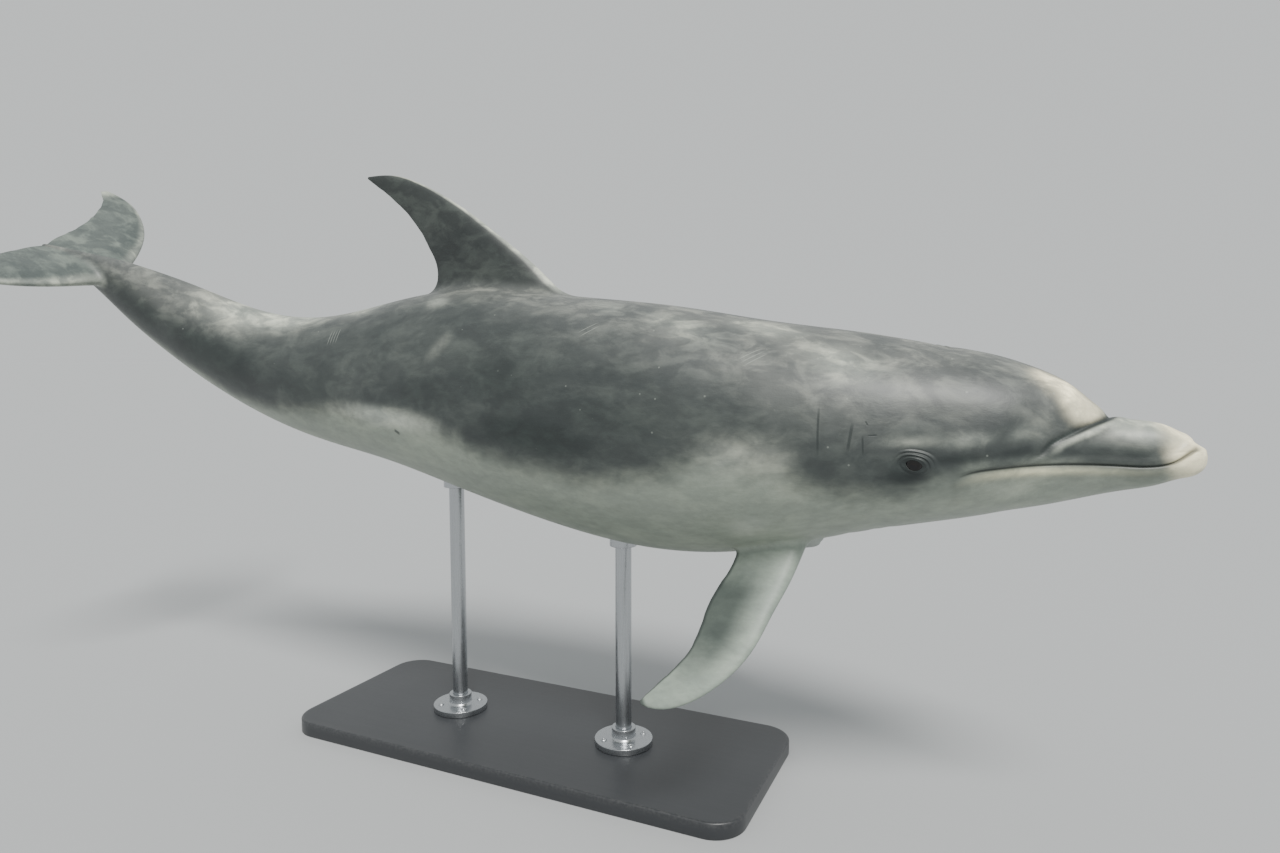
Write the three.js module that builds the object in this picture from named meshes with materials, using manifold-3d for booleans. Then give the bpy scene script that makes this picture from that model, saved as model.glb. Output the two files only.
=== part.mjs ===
// A bottlenose dolphin, life size, swimming with its tail raised, on a plain display stand.
// Millimetres, +Z up. +X points to the head and +Y to the animal's left. The origin is the
// middle of the underside of the stand's base.
//
// The body is a surface around a bent spine. A place on it is an arc length from the snout tip
// and an angle round the spine, where 0 is the back and +90 degrees is the left side.

import * as THREE from 'three';
import { mergeVertices } from 'three/addons/utils/BufferGeometryUtils.js';
import Module from 'manifold-3d';

const wasm = await Module();
wasm.setup();

const { degToRad, clamp, smoothstep, lerp } = THREE.MathUtils;

// ---- Driving dimensions ---------------------------------------------------------------

const GAP = 0.3;              // clearance between pieces that touch
const BODY_LENGTH = 2500;     // snout tip to fluke notch, along the spine
const SPINE_HEIGHT = 700;     // height of the spine's reference point over the floor
const REFERENCE = 1000;       // arc length of that reference point
const REFERENCE_AHEAD = 150;  // how far it stands ahead of the middle of the base

// Pose, in degrees. Pitch is how far the tail end of the spine points up.
const POSE = {
  trunkPitch: 3.2,
  headLift: 1.1, headLiftBack: 750,
  tailRise: 30.4, riseFrom: 1440, riseTo: 2325,
  flukeDrop: 14, dropFrom: 2250,
  sideBend: 26, bendFrom: 1125, bendPower: 1.5,
  twist: 26, twistFrom: 1500, twistTo: 2375,
};

// Height over the spine, depth under it and half width, at arc lengths from the snout tip.
const BEAK = {
  at: [0, 25, 60, 100, 140, 200, 300, 420],
  top: [33, 37, 49, 53, 55, 61, 66, 60],
  bottom: [26, 28, 42, 54, 66, 85, 99, 110],
  half: [24, 27, 36, 44, 54, 66, 80, 92],
};
const BODY = {
  at: [105, 138, 188, 225, 275, 375, 500, 650, 850, 1075, 1300, 1500, 1700, 1900, 2100, 2275, 2375, 2500],
  top: [77, 91, 112, 122, 137, 154, 170, 183, 205, 218, 226, 194, 145, 119, 110, 68, 33, 5],
  bottom: [50, 62, 79, 90, 107, 136, 172, 222, 251, 231, 189, 151, 129, 108, 91, 64, 32, 5],
  half: [40, 55, 93, 109, 128, 155, 185, 205, 212, 207, 186, 156, 124, 90, 56, 34, 22, 4],
};
// How square the section is above and below its widest line: 2 is an ellipse, less is keeled.
const SQUARENESS = {
  at: [0, 140, 375, 850, 1500, 1900, 2275, 2500],
  above: [2.2, 2.2, 2.1, 2.1, 2.0, 1.8, 1.7, 1.8],
  below: [2.3, 2.3, 2.2, 2.1, 2.0, 1.75, 1.7, 1.8],
};
const NOSE_LENGTH = 26;                           // the rounding of the jaw tips
const MELON = { from: 105, to: 250 };             // the forehead swells out over this stretch
const BEAK_FADE = { from: 300, to: 410 };         // the beak's own section sinks into the head
const CREASE_SOFTNESS = 5;                        // fillet where the melon meets the beak
const CREASE_REACH = 4;                           // fillet's reach, in softnesses
const CREASE_MIN_RADIUS = 20;                     // sections thinner than this get less fillet
const UPPER_SETBACK = { by: 14, from: 10, over: 16, fade: 70 };  // the lower jaw tip leads

// The closed mouth in side view: arc length and height over the spine, tip to corner.
const MOUTH = {
  at: [-30, 0, 14, 27, 40, 60, 115, 208, 281, 318, 336],
  height: [24, 21, 17, 8, -2, -10, -14, -16, -22, -30, -45],
};
const JAW_HINGE = { at: 352, height: -200 };      // where the jaw's rear cut leaves the throat

const HEAD_ROOM = 300;                            // cutting blocks reach this far from the spine

// Where the body is parted, by arc length.
const MELON_FRONT = 138;
const NECK = 500;
const LENGTHS = {
  trunk: [NECK + GAP, 1430],
  tail_stock: [1430 + GAP, 2250],
  tail_end: [2250 + GAP, 2494],
};

const EYE = { at: 391, angle: 99.5, radius: 18, depth: 13 };

// Each fin lies in its own plane: `back` runs to the tail and `out` away from the body.
// Lead and trail are the front and rear edges, root to tip, as [back, out].
const DORSAL_FIN = {
  at: 1250,
  lead: [[-232, 150], [-108, 260], [-18, 324], [76, 384], [170, 432], [262, 462], [344, 463]],
  trail: [[176, 150], [151, 245], [167, 298], [200, 346], [245, 391], [298, 429], [346, 458]],
  thickness: [70, 44, 34, 27, 20, 13, 5],
};
const FLIPPER = {
  at: 650, angle: 156, section: { half: 205, depth: 222 },
  lead: [[-96, -60], [-87, 0], [-76, 60], [-61, 116], [-47, 172], [-21, 226], [24, 277], [72, 304], [110, 306]],
  trail: [[32, -60], [24, 12], [32, 62], [46, 108], [51, 162], [60, 210], [84, 252], [100, 277], [114, 300]],
  thickness: [40, 31, 25, 21, 18, 15, 12, 9, 5],
  droopRight: 50, droopLeft: 20,
};
const FLUKE = {
  at: 2390,
  lead: [[-112, 0.15], [-92, 34], [-74, 72], [-57, 112], [-32, 160], [4, 210], [55, 256], [112, 286], [178, 293]],
  trail: [[92, 0.15], [101, 34], [103, 70], [106, 110], [114, 150], [126, 190], [142, 226], [161, 254], [189, 279]],
  thickness: [44, 38, 32, 27, 23, 19, 15, 11, 6],
  dihedral: 3.6, curl: 9, span: 300,
};

const STAND = {
  base: { length: 1000, width: 400, height: 30, corner: 60, bevel: 4 },
  rodRadius: 16, rodSpread: 200,                  // rods stand this far ahead of and behind the middle
  flange: { radius: 58, height: 12, hub: 24, hubHeight: 34 },
  collar: { radius: 27, height: 16 },
};

// Facets
const COLUMNS = 30;                               // round the body
const RING_STEP = { first: 6, growth: 0.08, most: 50 };
const FIRST_RING = 1.2;
const CHORD_POINTS = 7;                           // along each side of a fin
const FIN_RINGS = 13;                             // from a fin's root to its tip
const BALL = { around: 16, down: 10 };
const TURNED_SIDES = 20;
const SPINE_STEP = 2.5;
const EDGE_HALF = 0.6;                            // half thickness of a fin's rear edge

// ---- Curves ---------------------------------------------------------------------------

// A natural cubic spline: y over x, with no bend at its two ends.
function smoothCurve(xs, ys) {
  const last = xs.length - 1;
  const bend = new Array(xs.length).fill(0);
  const carry = new Array(xs.length).fill(0);
  for (let i = 1; i < last; i++) {
    const before = xs[i] - xs[i - 1];
    const after = xs[i + 1] - xs[i];
    const weight = 2 * (before + after) - before * carry[i - 1];
    const turn = 6 * ((ys[i + 1] - ys[i]) / after - (ys[i] - ys[i - 1]) / before);
    carry[i] = after / weight;
    bend[i] = (turn - before * bend[i - 1]) / weight;
  }
  for (let i = last - 1; i > 0; i--) bend[i] -= carry[i] * bend[i + 1];
  return (x) => {
    const place = clamp(x, xs[0], xs[last]);
    let i = 0;
    while (i < last - 1 && place >= xs[i + 1]) i++;
    const span = xs[i + 1] - xs[i];
    const a = (xs[i + 1] - place) / span;
    const b = (place - xs[i]) / span;
    return a * ys[i] + b * ys[i + 1]
      + ((a ** 3 - a) * bend[i] + (b ** 3 - b) * bend[i + 1]) * span ** 2 / 6;
  };
}

// The quarter ellipse that rounds an end off: 0 at `from`, 1 from `to` onwards.
function roundedEnd(place, from, to) {
  return Math.sqrt(1 - (1 - clamp((place - from) / (to - from), 0, 1)) ** 2);
}

// ---- Spine ----------------------------------------------------------------------------

function spineAngles(at) {
  const drop = clamp((at - POSE.dropFrom) / (BODY_LENGTH - POSE.dropFrom), 0, 1);
  const bend = clamp((at - POSE.bendFrom) / (BODY_LENGTH - POSE.bendFrom), 0, 1);
  const lift = clamp((POSE.headLiftBack - at) / POSE.headLiftBack, 0, 1);
  const pitch = POSE.trunkPitch - POSE.headLift * lift
    + POSE.tailRise * smoothstep(at, POSE.riseFrom, POSE.riseTo) - POSE.flukeDrop * drop;
  return {
    pitch: degToRad(pitch),
    yaw: degToRad(-POSE.sideBend * bend ** POSE.bendPower),
    roll: degToRad(POSE.twist * smoothstep(at, POSE.twistFrom, POSE.twistTo)),
  };
}

function tailward(at) {
  const { pitch, yaw } = spineAngles(at);
  return new THREE.Vector3(
    -Math.cos(pitch) * Math.cos(yaw), Math.cos(pitch) * Math.sin(yaw), Math.sin(pitch));
}

// The spine's points every SPINE_STEP, moved so that the reference point is in its place.
const spinePoints = (() => {
  const points = [new THREE.Vector3()];
  for (let at = 0; at < BODY_LENGTH; at += SPINE_STEP) {
    const step = tailward(at + SPINE_STEP / 2).multiplyScalar(SPINE_STEP);
    points.push(points[points.length - 1].clone().add(step));
  }
  const shift = new THREE.Vector3(REFERENCE_AHEAD, 0, SPINE_HEIGHT)
    .sub(points[REFERENCE / SPINE_STEP]);
  return points.map((point) => point.add(shift));
})();

// Point, and directions to the tail, up and to the left, at an arc length.
function spineFrame(at) {
  const { pitch, yaw, roll } = spineAngles(at);
  const tail = tailward(at);
  const up = new THREE.Vector3(
    Math.sin(pitch) * Math.cos(yaw), -Math.sin(pitch) * Math.sin(yaw), Math.cos(pitch));
  const left = new THREE.Vector3().crossVectors(up, tail.clone().negate());
  const index = clamp(at / SPINE_STEP, 0, spinePoints.length - 1);
  const low = Math.min(Math.floor(index), spinePoints.length - 2);
  return {
    point: spinePoints[low].clone().lerp(spinePoints[low + 1], index - low),
    tail,
    left: left.clone().multiplyScalar(Math.cos(roll)).addScaledVector(up, Math.sin(roll)),
    up: up.clone().multiplyScalar(Math.cos(roll)).addScaledVector(left, -Math.sin(roll)),
  };
}

// ---- Body surface ---------------------------------------------------------------------

const beak = {
  top: smoothCurve(BEAK.at, BEAK.top),
  bottom: smoothCurve(BEAK.at, BEAK.bottom),
  half: smoothCurve(BEAK.at, BEAK.half),
};
const body = {
  top: smoothCurve(BODY.at, BODY.top),
  bottom: smoothCurve(BODY.at, BODY.bottom),
  half: smoothCurve(BODY.at, BODY.half),
};
const squareness = {
  above: smoothCurve(SQUARENESS.at, SQUARENESS.above),
  below: smoothCurve(SQUARENESS.at, SQUARENESS.below),
};

// Polar radius of a superellipse.
function superRadius(half, height, power, sine, cosine) {
  return (Math.abs(sine / half) ** power + Math.abs(cosine / height) ** power) ** (-1 / power);
}

// Distance from the spine to the skin. The beak's section and the head's are two tubes, and
// the outer one shows, with a fillet in the crease between them.
function skinRadius(at, angle) {
  const sine = Math.sin(angle);
  const cosine = Math.cos(angle);
  const above = cosine > 0;
  const power = above ? squareness.above(at) : squareness.below(at);
  const beakHeight = above ? beak.top(at) : beak.bottom(at);
  const bodyHeight = above ? body.top(at) : body.bottom(at);
  const beakRadius = superRadius(beak.half(at), beakHeight, power, sine, cosine)
    * roundedEnd(at, 0, NOSE_LENGTH) * (1 - smoothstep(at, BEAK_FADE.from, BEAK_FADE.to));
  const bodyRadius = superRadius(body.half(at), bodyHeight, power, sine, cosine)
    * roundedEnd(at, MELON.from, MELON.to);
  const nearness = clamp(
    1 - Math.abs(beakRadius - bodyRadius) / (CREASE_REACH * CREASE_SOFTNESS), 0, 1);
  const room = Math.min(1, Math.min(beakRadius, bodyRadius) / CREASE_MIN_RADIUS);
  return Math.max(beakRadius, bodyRadius) + CREASE_SOFTNESS * nearness ** 2 * room;
}

// A point at an arc length and an angle, `grow` outside the skin.
function skinPoint(at, angle, grow = 0) {
  const { point, tail, left, up } = spineFrame(at);
  const radius = skinRadius(at, angle) + grow;
  const height = radius * Math.cos(angle);
  const setback = UPPER_SETBACK.by * Math.max(0, 1 - at / UPPER_SETBACK.fade) ** 2
    * smoothstep(height, UPPER_SETBACK.from, UPPER_SETBACK.from + UPPER_SETBACK.over);
  return point.addScaledVector(left, radius * Math.sin(angle))
    .addScaledVector(up, height)
    .addScaledVector(tail, setback);
}

function ringPlaces(from, to) {
  const stepAt = (at) => Math.min(RING_STEP.first + RING_STEP.growth * at, RING_STEP.most);
  const places = [from];
  for (let at = from + stepAt(from); at < to - stepAt(to) / 2; at += stepAt(at)) places.push(at);
  return [...places, to];
}

// ---- Solids ---------------------------------------------------------------------------

function closedGeometry(points, triangles) {
  const geometry = new THREE.BufferGeometry();
  geometry.setAttribute('position', new THREE.Float32BufferAttribute(
    points.flatMap((point) => point.toArray()), 3));
  geometry.setIndex(triangles);
  return geometry;
}

// A closed skin over rings of equal count, with a fan on the middle of each end ring.
function loft(rings) {
  const count = rings[0].length;
  const points = rings.flat();
  const triangles = [];
  for (let ring = 0; ring < rings.length - 1; ring++) {
    for (let i = 0; i < count; i++) {
      const next = (i + 1) % count;
      const a = ring * count;
      triangles.push(a + i, a + next, a + count + next, a + i, a + count + next, a + count + i);
    }
  }
  for (const [ring, turned] of [[0, true], [rings.length - 1, false]]) {
    const middle = rings[ring].reduce((sum, point) => sum.add(point), new THREE.Vector3())
      .divideScalar(count);
    points.push(middle);
    for (let i = 0; i < count; i++) {
      const edge = [ring * count + i, ring * count + (i + 1) % count];
      if (turned) edge.reverse();
      triangles.push(edge[0], edge[1], points.length - 1);
    }
  }
  return outward(closedGeometry(points, triangles));
}

// Turns a closed geometry's faces outwards, by the sign of its volume.
function outward(geometry) {
  const position = geometry.getAttribute('position');
  const index = geometry.getIndex().array;
  const corner = (i) => new THREE.Vector3().fromBufferAttribute(position, index[i]);
  let volume = 0;
  for (let i = 0; i < index.length; i += 3) {
    volume += corner(i).dot(corner(i + 1).cross(corner(i + 2)));
  }
  if (volume < 0) {
    for (let i = 0; i < index.length; i += 3) {
      [index[i], index[i + 1]] = [index[i + 1], index[i]];
    }
  }
  return geometry;
}

function solid(geometry) {
  const bare = geometry.clone();
  for (const name of ['normal', 'uv']) bare.deleteAttribute(name);
  const merged = mergeVertices(bare, 1e-4);
  return new wasm.Manifold(new wasm.Mesh({
    numProp: 3,
    vertProperties: new Float32Array(merged.getAttribute('position').array),
    triVerts: new Uint32Array(merged.getIndex().array),
  }));
}

function geometryOf(manifold) {
  const mesh = manifold.getMesh();
  const geometry = new THREE.BufferGeometry();
  geometry.setAttribute('position', new THREE.BufferAttribute(mesh.vertProperties, 3));
  geometry.setIndex(new THREE.BufferAttribute(mesh.triVerts, 1));
  return geometry;
}

function bodyLength([from, to], grow = 0) {
  const angles = Array.from({ length: COLUMNS }, (_, i) => 2 * Math.PI * i / COLUMNS);
  return solid(loft(ringPlaces(from, to).map(
    (at) => angles.map((angle) => skinPoint(at, angle, grow)))));
}

// A plate of (arc length, height) points in the head's side view, across the whole head.
function sidePlate(points) {
  const flat = points.map(([at, height]) => new THREE.Vector2(at, height));
  if (THREE.ShapeUtils.isClockWise(flat)) flat.reverse();
  const corners = [-HEAD_ROOM, HEAD_ROOM].flatMap((across) => flat.map(({ x: at, y: height }) => {
    const { point, left, up, tail } = spineFrame(Math.max(at, 0));
    return point.addScaledVector(tail, Math.min(at, 0))
      .addScaledVector(up, height).addScaledVector(left, across);
  }));
  const count = flat.length;
  const triangles = [];
  for (const [a, b, c] of THREE.ShapeUtils.triangulateShape(flat, [])) {
    triangles.push(a, c, b, count + a, count + b, count + c);
  }
  for (let i = 0; i < count; i++) {
    const next = (i + 1) % count;
    triangles.push(i, next, count + next, i, count + next, count + i);
  }
  return solid(outward(closedGeometry(corners, triangles)));
}

// ---- Head -----------------------------------------------------------------------------

// Everything under the mouth line and ahead of the jaw's rear cut, enlarged by `grow`.
function jawBlock(grow) {
  const mouth = smoothCurve(MOUTH.at, MOUTH.height);
  const line = MOUTH.at.map((at) => [at + grow, mouth(at) + grow]);
  return sidePlate([
    ...line,
    [JAW_HINGE.at + grow, JAW_HINGE.height],
    [MOUTH.at[0], JAW_HINGE.height],
  ]);
}

// Everything ahead of the melon's front, enlarged by `grow`.
function beakBlock(grow) {
  const back = MELON_FRONT + grow;
  return sidePlate([
    [-HEAD_ROOM, -HEAD_ROOM], [back, -HEAD_ROOM], [back, HEAD_ROOM], [-HEAD_ROOM, HEAD_ROOM],
  ]);
}

// The eye's middle lies under the skin, in from the surface point.
function eyeMiddle(side) {
  const surface = skinPoint(EYE.at, side * degToRad(EYE.angle));
  const inward = spineFrame(EYE.at).point.clone().sub(surface).normalize();
  return surface.addScaledVector(inward, EYE.depth);
}

function eyeball(side, radius) {
  const geometry = new THREE.SphereGeometry(radius, BALL.around, BALL.down).rotateX(Math.PI / 2);
  const middle = eyeMiddle(side);
  return solid(geometry.translate(middle.x, middle.y, middle.z));
}

function headPieces() {
  const whole = bodyLength([FIRST_RING, NECK]);
  let upper = whole.subtract(jawBlock(GAP));
  for (const side of [-1, 1]) upper = upper.subtract(eyeball(side, EYE.radius + GAP));
  return {
    lower_jaw: whole.intersect(jawBlock(0)),
    upper_beak: upper.intersect(beakBlock(0)),
    head: upper.subtract(beakBlock(GAP)),
  };
}

// ---- Fins -----------------------------------------------------------------------------

// Half thickness along the chord, 0 at the front edge and 1 at the rear one, for a fin of
// thickness 1: a rounded front, thickest at a third of the chord, and a thin rear edge.
function foilHalf(chord) {
  return 5 * (0.2969 * Math.sqrt(chord) - 0.126 * chord - 0.3516 * chord ** 2
    + 0.2843 * chord ** 3 - 0.1015 * chord ** 4);
}

// A fin over its plane: origin, back and out directions, the normal across its thickness,
// and `rise`, how far the plane is bent along that normal at a distance out.
function fin(shape, plane, rise = () => 0) {
  const places = shape.lead.map((_, i) => i);
  const curve = (values) => smoothCurve(places, values);
  const lead = [0, 1].map((axis) => curve(shape.lead.map((point) => point[axis])));
  const trail = [0, 1].map((axis) => curve(shape.trail.map((point) => point[axis])));
  const thickness = curve(shape.thickness);
  const chords = Array.from({ length: CHORD_POINTS },
    (_, i) => (1 - Math.cos(Math.PI * i / (CHORD_POINTS - 1))) / 2);
  const round = [
    ...chords.map((chord) => [chord, 1]),
    ...chords.slice(1).reverse().map((chord) => [chord, -1]),
  ];
  const rings = [];
  for (let i = 0; i < FIN_RINGS; i++) {
    const place = (places.length - 1) * i / (FIN_RINGS - 1);
    rings.push(round.map(([chord, side]) => {
      const back = lerp(lead[0](place), trail[0](place), chord);
      const out = lerp(lead[1](place), trail[1](place), chord);
      const half = chord === 0 ? 0 : thickness(place) * foilHalf(chord) + EDGE_HALF;
      return plane.origin.clone().addScaledVector(plane.back, back)
        .addScaledVector(plane.out, out)
        .addScaledVector(plane.normal, side * half + rise(out));
    }));
  }
  return solid(loft(rings));
}

function dorsalFin() {
  const { point, tail, left, up } = spineFrame(DORSAL_FIN.at);
  const plane = { origin: point, back: tail, out: up, normal: left };
  return fin(DORSAL_FIN, plane).subtract(bodyLength(LENGTHS.trunk, GAP));
}

// A flipper hangs from the lower flank, drooping below the level by `droop` degrees.
function flipper(side, droop) {
  const { point, tail, left, up } = spineFrame(FLIPPER.at);
  const angle = degToRad(FLIPPER.angle);
  const droopAngle = degToRad(droop);
  const outward = left.clone().multiplyScalar(side);
  const out = outward.clone().multiplyScalar(Math.cos(droopAngle))
    .addScaledVector(up, -Math.sin(droopAngle));
  const plane = {
    origin: point.addScaledVector(outward, FLIPPER.section.half * Math.sin(angle))
      .addScaledVector(up, FLIPPER.section.depth * Math.cos(angle)),
    back: tail,
    out,
    normal: new THREE.Vector3().crossVectors(out, tail),
  };
  return fin(FLIPPER, plane).subtract(bodyLength(LENGTHS.trunk, GAP));
}

function fluke(side) {
  const { point, tail, left, up } = spineFrame(FLUKE.at);
  const plane = { origin: point, back: tail, out: left.multiplyScalar(side), normal: up };
  const rise = (out) => Math.tan(degToRad(FLUKE.dihedral)) * out
    + FLUKE.curl * (out / FLUKE.span) ** 2;
  return fin(FLUKE, plane, rise).subtract(bodyLength(LENGTHS.tail_end, GAP));
}

// ---- Stand ----------------------------------------------------------------------------

function standBase() {
  const { length, width, height, corner, bevel } = STAND.base;
  const x = length / 2 - bevel;
  const y = width / 2 - bevel;
  const shape = new THREE.Shape();
  shape.moveTo(-x + corner, -y).lineTo(x - corner, -y);
  shape.absarc(x - corner, -y + corner, corner, -Math.PI / 2, 0);
  shape.absarc(x - corner, y - corner, corner, 0, Math.PI / 2);
  shape.absarc(-x + corner, y - corner, corner, Math.PI / 2, Math.PI);
  shape.absarc(-x + corner, -y + corner, corner, Math.PI, 1.5 * Math.PI);
  const geometry = new THREE.ExtrudeGeometry(shape, {
    depth: height - 2 * bevel, bevelThickness: bevel, bevelSize: bevel, bevelSegments: 1,
    curveSegments: 5,
  });
  return solid(geometry.translate(0, 0, bevel));
}

// A solid of revolution about a vertical axis at x, from a closed profile of [radius, height].
function turned(x, profile) {
  const geometry = new THREE.LatheGeometry(
    [...profile, profile[0]].map(([radius, height]) => new THREE.Vector2(radius, height)),
    TURNED_SIDES);
  return solid(outward(mergeVertices(
    geometry.deleteAttribute('normal').deleteAttribute('uv'), 1e-4)
    .rotateX(Math.PI / 2).translate(x, 0, 0)));
}

// Height of the belly over the floor on the vertical line at x, by stepping along the spine.
function bellyHeight(x) {
  let at = NECK;
  while (skinPoint(at, Math.PI).x > x) at += SPINE_STEP;
  return skinPoint(at, Math.PI).z;
}

function standPieces(x) {
  const { rodRadius, flange, collar, base } = STAND;
  const floor = base.height + GAP;
  const bore = rodRadius + GAP;
  const belly = bodyLength(LENGTHS.trunk, GAP);
  const INSIDE = 40;
  const top = bellyHeight(x) + INSIDE;
  const rod = turned(x, [[0, floor], [rodRadius, floor], [rodRadius, top], [0, top]]);
  const ring = turned(x, [
    [bore, top - INSIDE - collar.height], [collar.radius, top - INSIDE - collar.height],
    [collar.radius, top], [bore, top],
  ]);
  return {
    rod: rod.subtract(belly),
    collar: ring.subtract(belly),
    flange: turned(x, [
      [bore, floor], [flange.radius, floor], [flange.radius, floor + flange.height],
      [flange.hub, floor + flange.height], [flange.hub, floor + flange.hubHeight],
      [bore, floor + flange.hubHeight],
    ]),
  };
}

// ---- The model ------------------------------------------------------------------------

const MATERIALS = {
  skin: new THREE.MeshStandardMaterial({ color: 0x77807f, roughness: 0.42, metalness: 0 }),
  jawSkin: new THREE.MeshStandardMaterial({ color: 0xc9ccbd, roughness: 0.42, metalness: 0 }),
  finSkin: new THREE.MeshStandardMaterial({ color: 0x646d6d, roughness: 0.42, metalness: 0 }),
  eye: new THREE.MeshStandardMaterial({ color: 0x17120e, roughness: 0.08, metalness: 0 }),
  coatedBase: new THREE.MeshStandardMaterial({ color: 0x2b2d30, roughness: 0.5, metalness: 0 }),
  steel: new THREE.MeshStandardMaterial({ color: 0xb9bcc0, roughness: 0.3, metalness: 1 }),
};

const model = new THREE.Group();

function add(parent, name, manifold, material) {
  const mesh = new THREE.Mesh(geometryOf(manifold), material);
  mesh.name = name;
  parent.add(mesh);
}

const animal = new THREE.Group();
const front = headPieces();
add(animal, 'upper_beak', front.upper_beak, MATERIALS.skin);
add(animal, 'lower_jaw', front.lower_jaw, MATERIALS.jawSkin);
add(animal, 'head', front.head, MATERIALS.skin);
for (const [name, range] of Object.entries(LENGTHS)) {
  add(animal, name, bodyLength(range), MATERIALS.skin);
}
add(animal, 'dorsal_fin', dorsalFin(), MATERIALS.finSkin);
add(animal, 'flipper_left', flipper(1, FLIPPER.droopLeft), MATERIALS.finSkin);
add(animal, 'flipper_right', flipper(-1, FLIPPER.droopRight), MATERIALS.finSkin);
add(animal, 'fluke_left', fluke(1), MATERIALS.finSkin);
add(animal, 'fluke_right', fluke(-1), MATERIALS.finSkin);
add(animal, 'eye_left', eyeball(1, EYE.radius), MATERIALS.eye);
add(animal, 'eye_right', eyeball(-1, EYE.radius), MATERIALS.eye);
model.add(animal);

const stand = new THREE.Group();
add(stand, 'stand_base', standBase(), MATERIALS.coatedBase);
for (const [name, x] of [['front', STAND.rodSpread], ['rear', -STAND.rodSpread]]) {
  const pieces = standPieces(x);
  add(stand, `stand_flange_${name}`, pieces.flange, MATERIALS.steel);
  add(stand, `stand_rod_${name}`, pieces.rod, MATERIALS.steel);
  add(stand, `stand_collar_${name}`, pieces.collar, MATERIALS.steel);
}
model.add(stand);

export default model;
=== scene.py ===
"""Bottlenose dolphin, life size, swimming with its tail raised, on a plain display stand.

The animal is one closed skin, worked out round a bent spine. A place on the skin is an arc
length from the snout tip, in metres, and an angle round the spine, where 0 is the back and a
positive angle is the animal's left. Lids, blowhole and fins are patches: rings of points that
start at a gap left in the body's grid, so that no seam shows.
"""

import math

import bpy
import numpy as np
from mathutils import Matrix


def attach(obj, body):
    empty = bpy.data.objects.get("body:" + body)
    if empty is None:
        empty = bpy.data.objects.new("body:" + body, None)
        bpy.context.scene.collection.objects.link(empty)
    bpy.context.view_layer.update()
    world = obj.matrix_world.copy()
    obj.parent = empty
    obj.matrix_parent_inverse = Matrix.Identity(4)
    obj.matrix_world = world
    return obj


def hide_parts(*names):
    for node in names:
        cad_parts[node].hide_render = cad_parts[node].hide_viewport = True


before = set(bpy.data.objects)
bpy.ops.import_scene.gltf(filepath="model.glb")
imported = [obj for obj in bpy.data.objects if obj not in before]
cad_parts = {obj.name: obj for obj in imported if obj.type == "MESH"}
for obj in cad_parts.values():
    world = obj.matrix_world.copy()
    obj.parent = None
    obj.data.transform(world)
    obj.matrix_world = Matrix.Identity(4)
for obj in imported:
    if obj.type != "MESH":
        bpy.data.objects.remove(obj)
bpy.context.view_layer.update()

bl_info = {
    "name": "Display Dolphin",
    "version": (1, 0, 0),
    "blender": (4, 5, 0),
    "location": "View3D > Sidebar > Dolphin",
    "description": "Skin, eyes, stand and studio of a life-size dolphin model",
    "category": "Add Mesh",
}

MM = 0.001


def mm(*values):
    """Millimetres as an array of metres."""
    return np.array(values, dtype=float) * MM


# ---- Driving dimensions -----------------------------------------------------------------

BODY_LENGTH = 2.5
SPINE_HEIGHT = 0.7
REFERENCE = 1.0               # arc length of the spine's reference point
REFERENCE_AHEAD = 0.15        # how far it stands ahead of the middle of the base
SPINE_STEP = 0.0025

POSE = dict(
    trunk_pitch=3.2, head_lift=1.1, head_lift_back=0.75,
    tail_rise=30.4, rise=(1.44, 2.325), fluke_drop=14, drop_from=2.25,
    side_bend=26, bend_from=1.125, bend_power=1.5, twist=26, twisted=(1.5, 2.375),
)

# Height over the spine, depth under it and half width, at arc lengths from the snout tip.
BEAK = dict(
    at=mm(0, 25, 60, 100, 140, 200, 300, 420),
    top=mm(33, 37, 49, 53, 55, 61, 66, 60),
    bottom=mm(26, 28, 42, 54, 66, 85, 99, 110),
    half=mm(24, 27, 36, 44, 56, 83, 112, 125),
)
BODY = dict(
    at=mm(105, 138, 188, 225, 275, 375, 500, 650, 850, 1075, 1300, 1500, 1700, 1900, 2100,
          2275, 2375, 2500),
    top=mm(77, 91, 112, 122, 137, 154, 170, 183, 205, 218, 226, 194, 145, 119, 110, 68, 33, 5),
    bottom=mm(50, 62, 79, 90, 107, 136, 172, 222, 251, 231, 189, 151, 129, 108, 91, 64, 32, 5),
    half=mm(40, 55, 93, 109, 128, 155, 185, 205, 212, 207, 186, 156, 124, 90, 56, 34, 22, 4),
)
SQUARENESS = dict(
    at=mm(0, 140, 375, 850, 1500, 1900, 2275, 2500),
    above=(2.2, 2.2, 2.1, 2.1, 2.0, 1.8, 1.7, 1.8),
    below=(2.3, 2.3, 2.2, 2.1, 2.0, 1.75, 1.7, 1.8),
)
NOSE_LENGTH = 0.026           # rounding of the snout's tip
# The melon's rounded front: where it starts on the back, its length, and how much further back
# it starts down the sides, between two angles and until two others.
MELON = dict(start=0.101, length=0.145, back=0.075, between=(0.26, 2.18), until=(1.92, 2.70))
BEAK_FADE = (0.300, 0.410)    # the beak's tube runs out inside the head
CREASE = dict(softness=0.0032, reach=4, least_radius=0.020)
CREASE_LINE = dict(angle=np.radians([0, 9, 31.5, 51, 70, 83, 90.5, 97, 104]),
                   at=mm(131, 132, 145, 166, 192, 214, 223, 238, 262))
# The upper beak's tip lies further back than the lower jaw's, from under to over the mouth line.
SETBACK = dict(by=0.014, fade=0.070, under=0.006, over=0.008)
TAIL = dict(end=2.489, rounding=0.009, rings=(0.75, 0.5, 0.3, 0.15, 0.05, 0.01))

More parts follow.
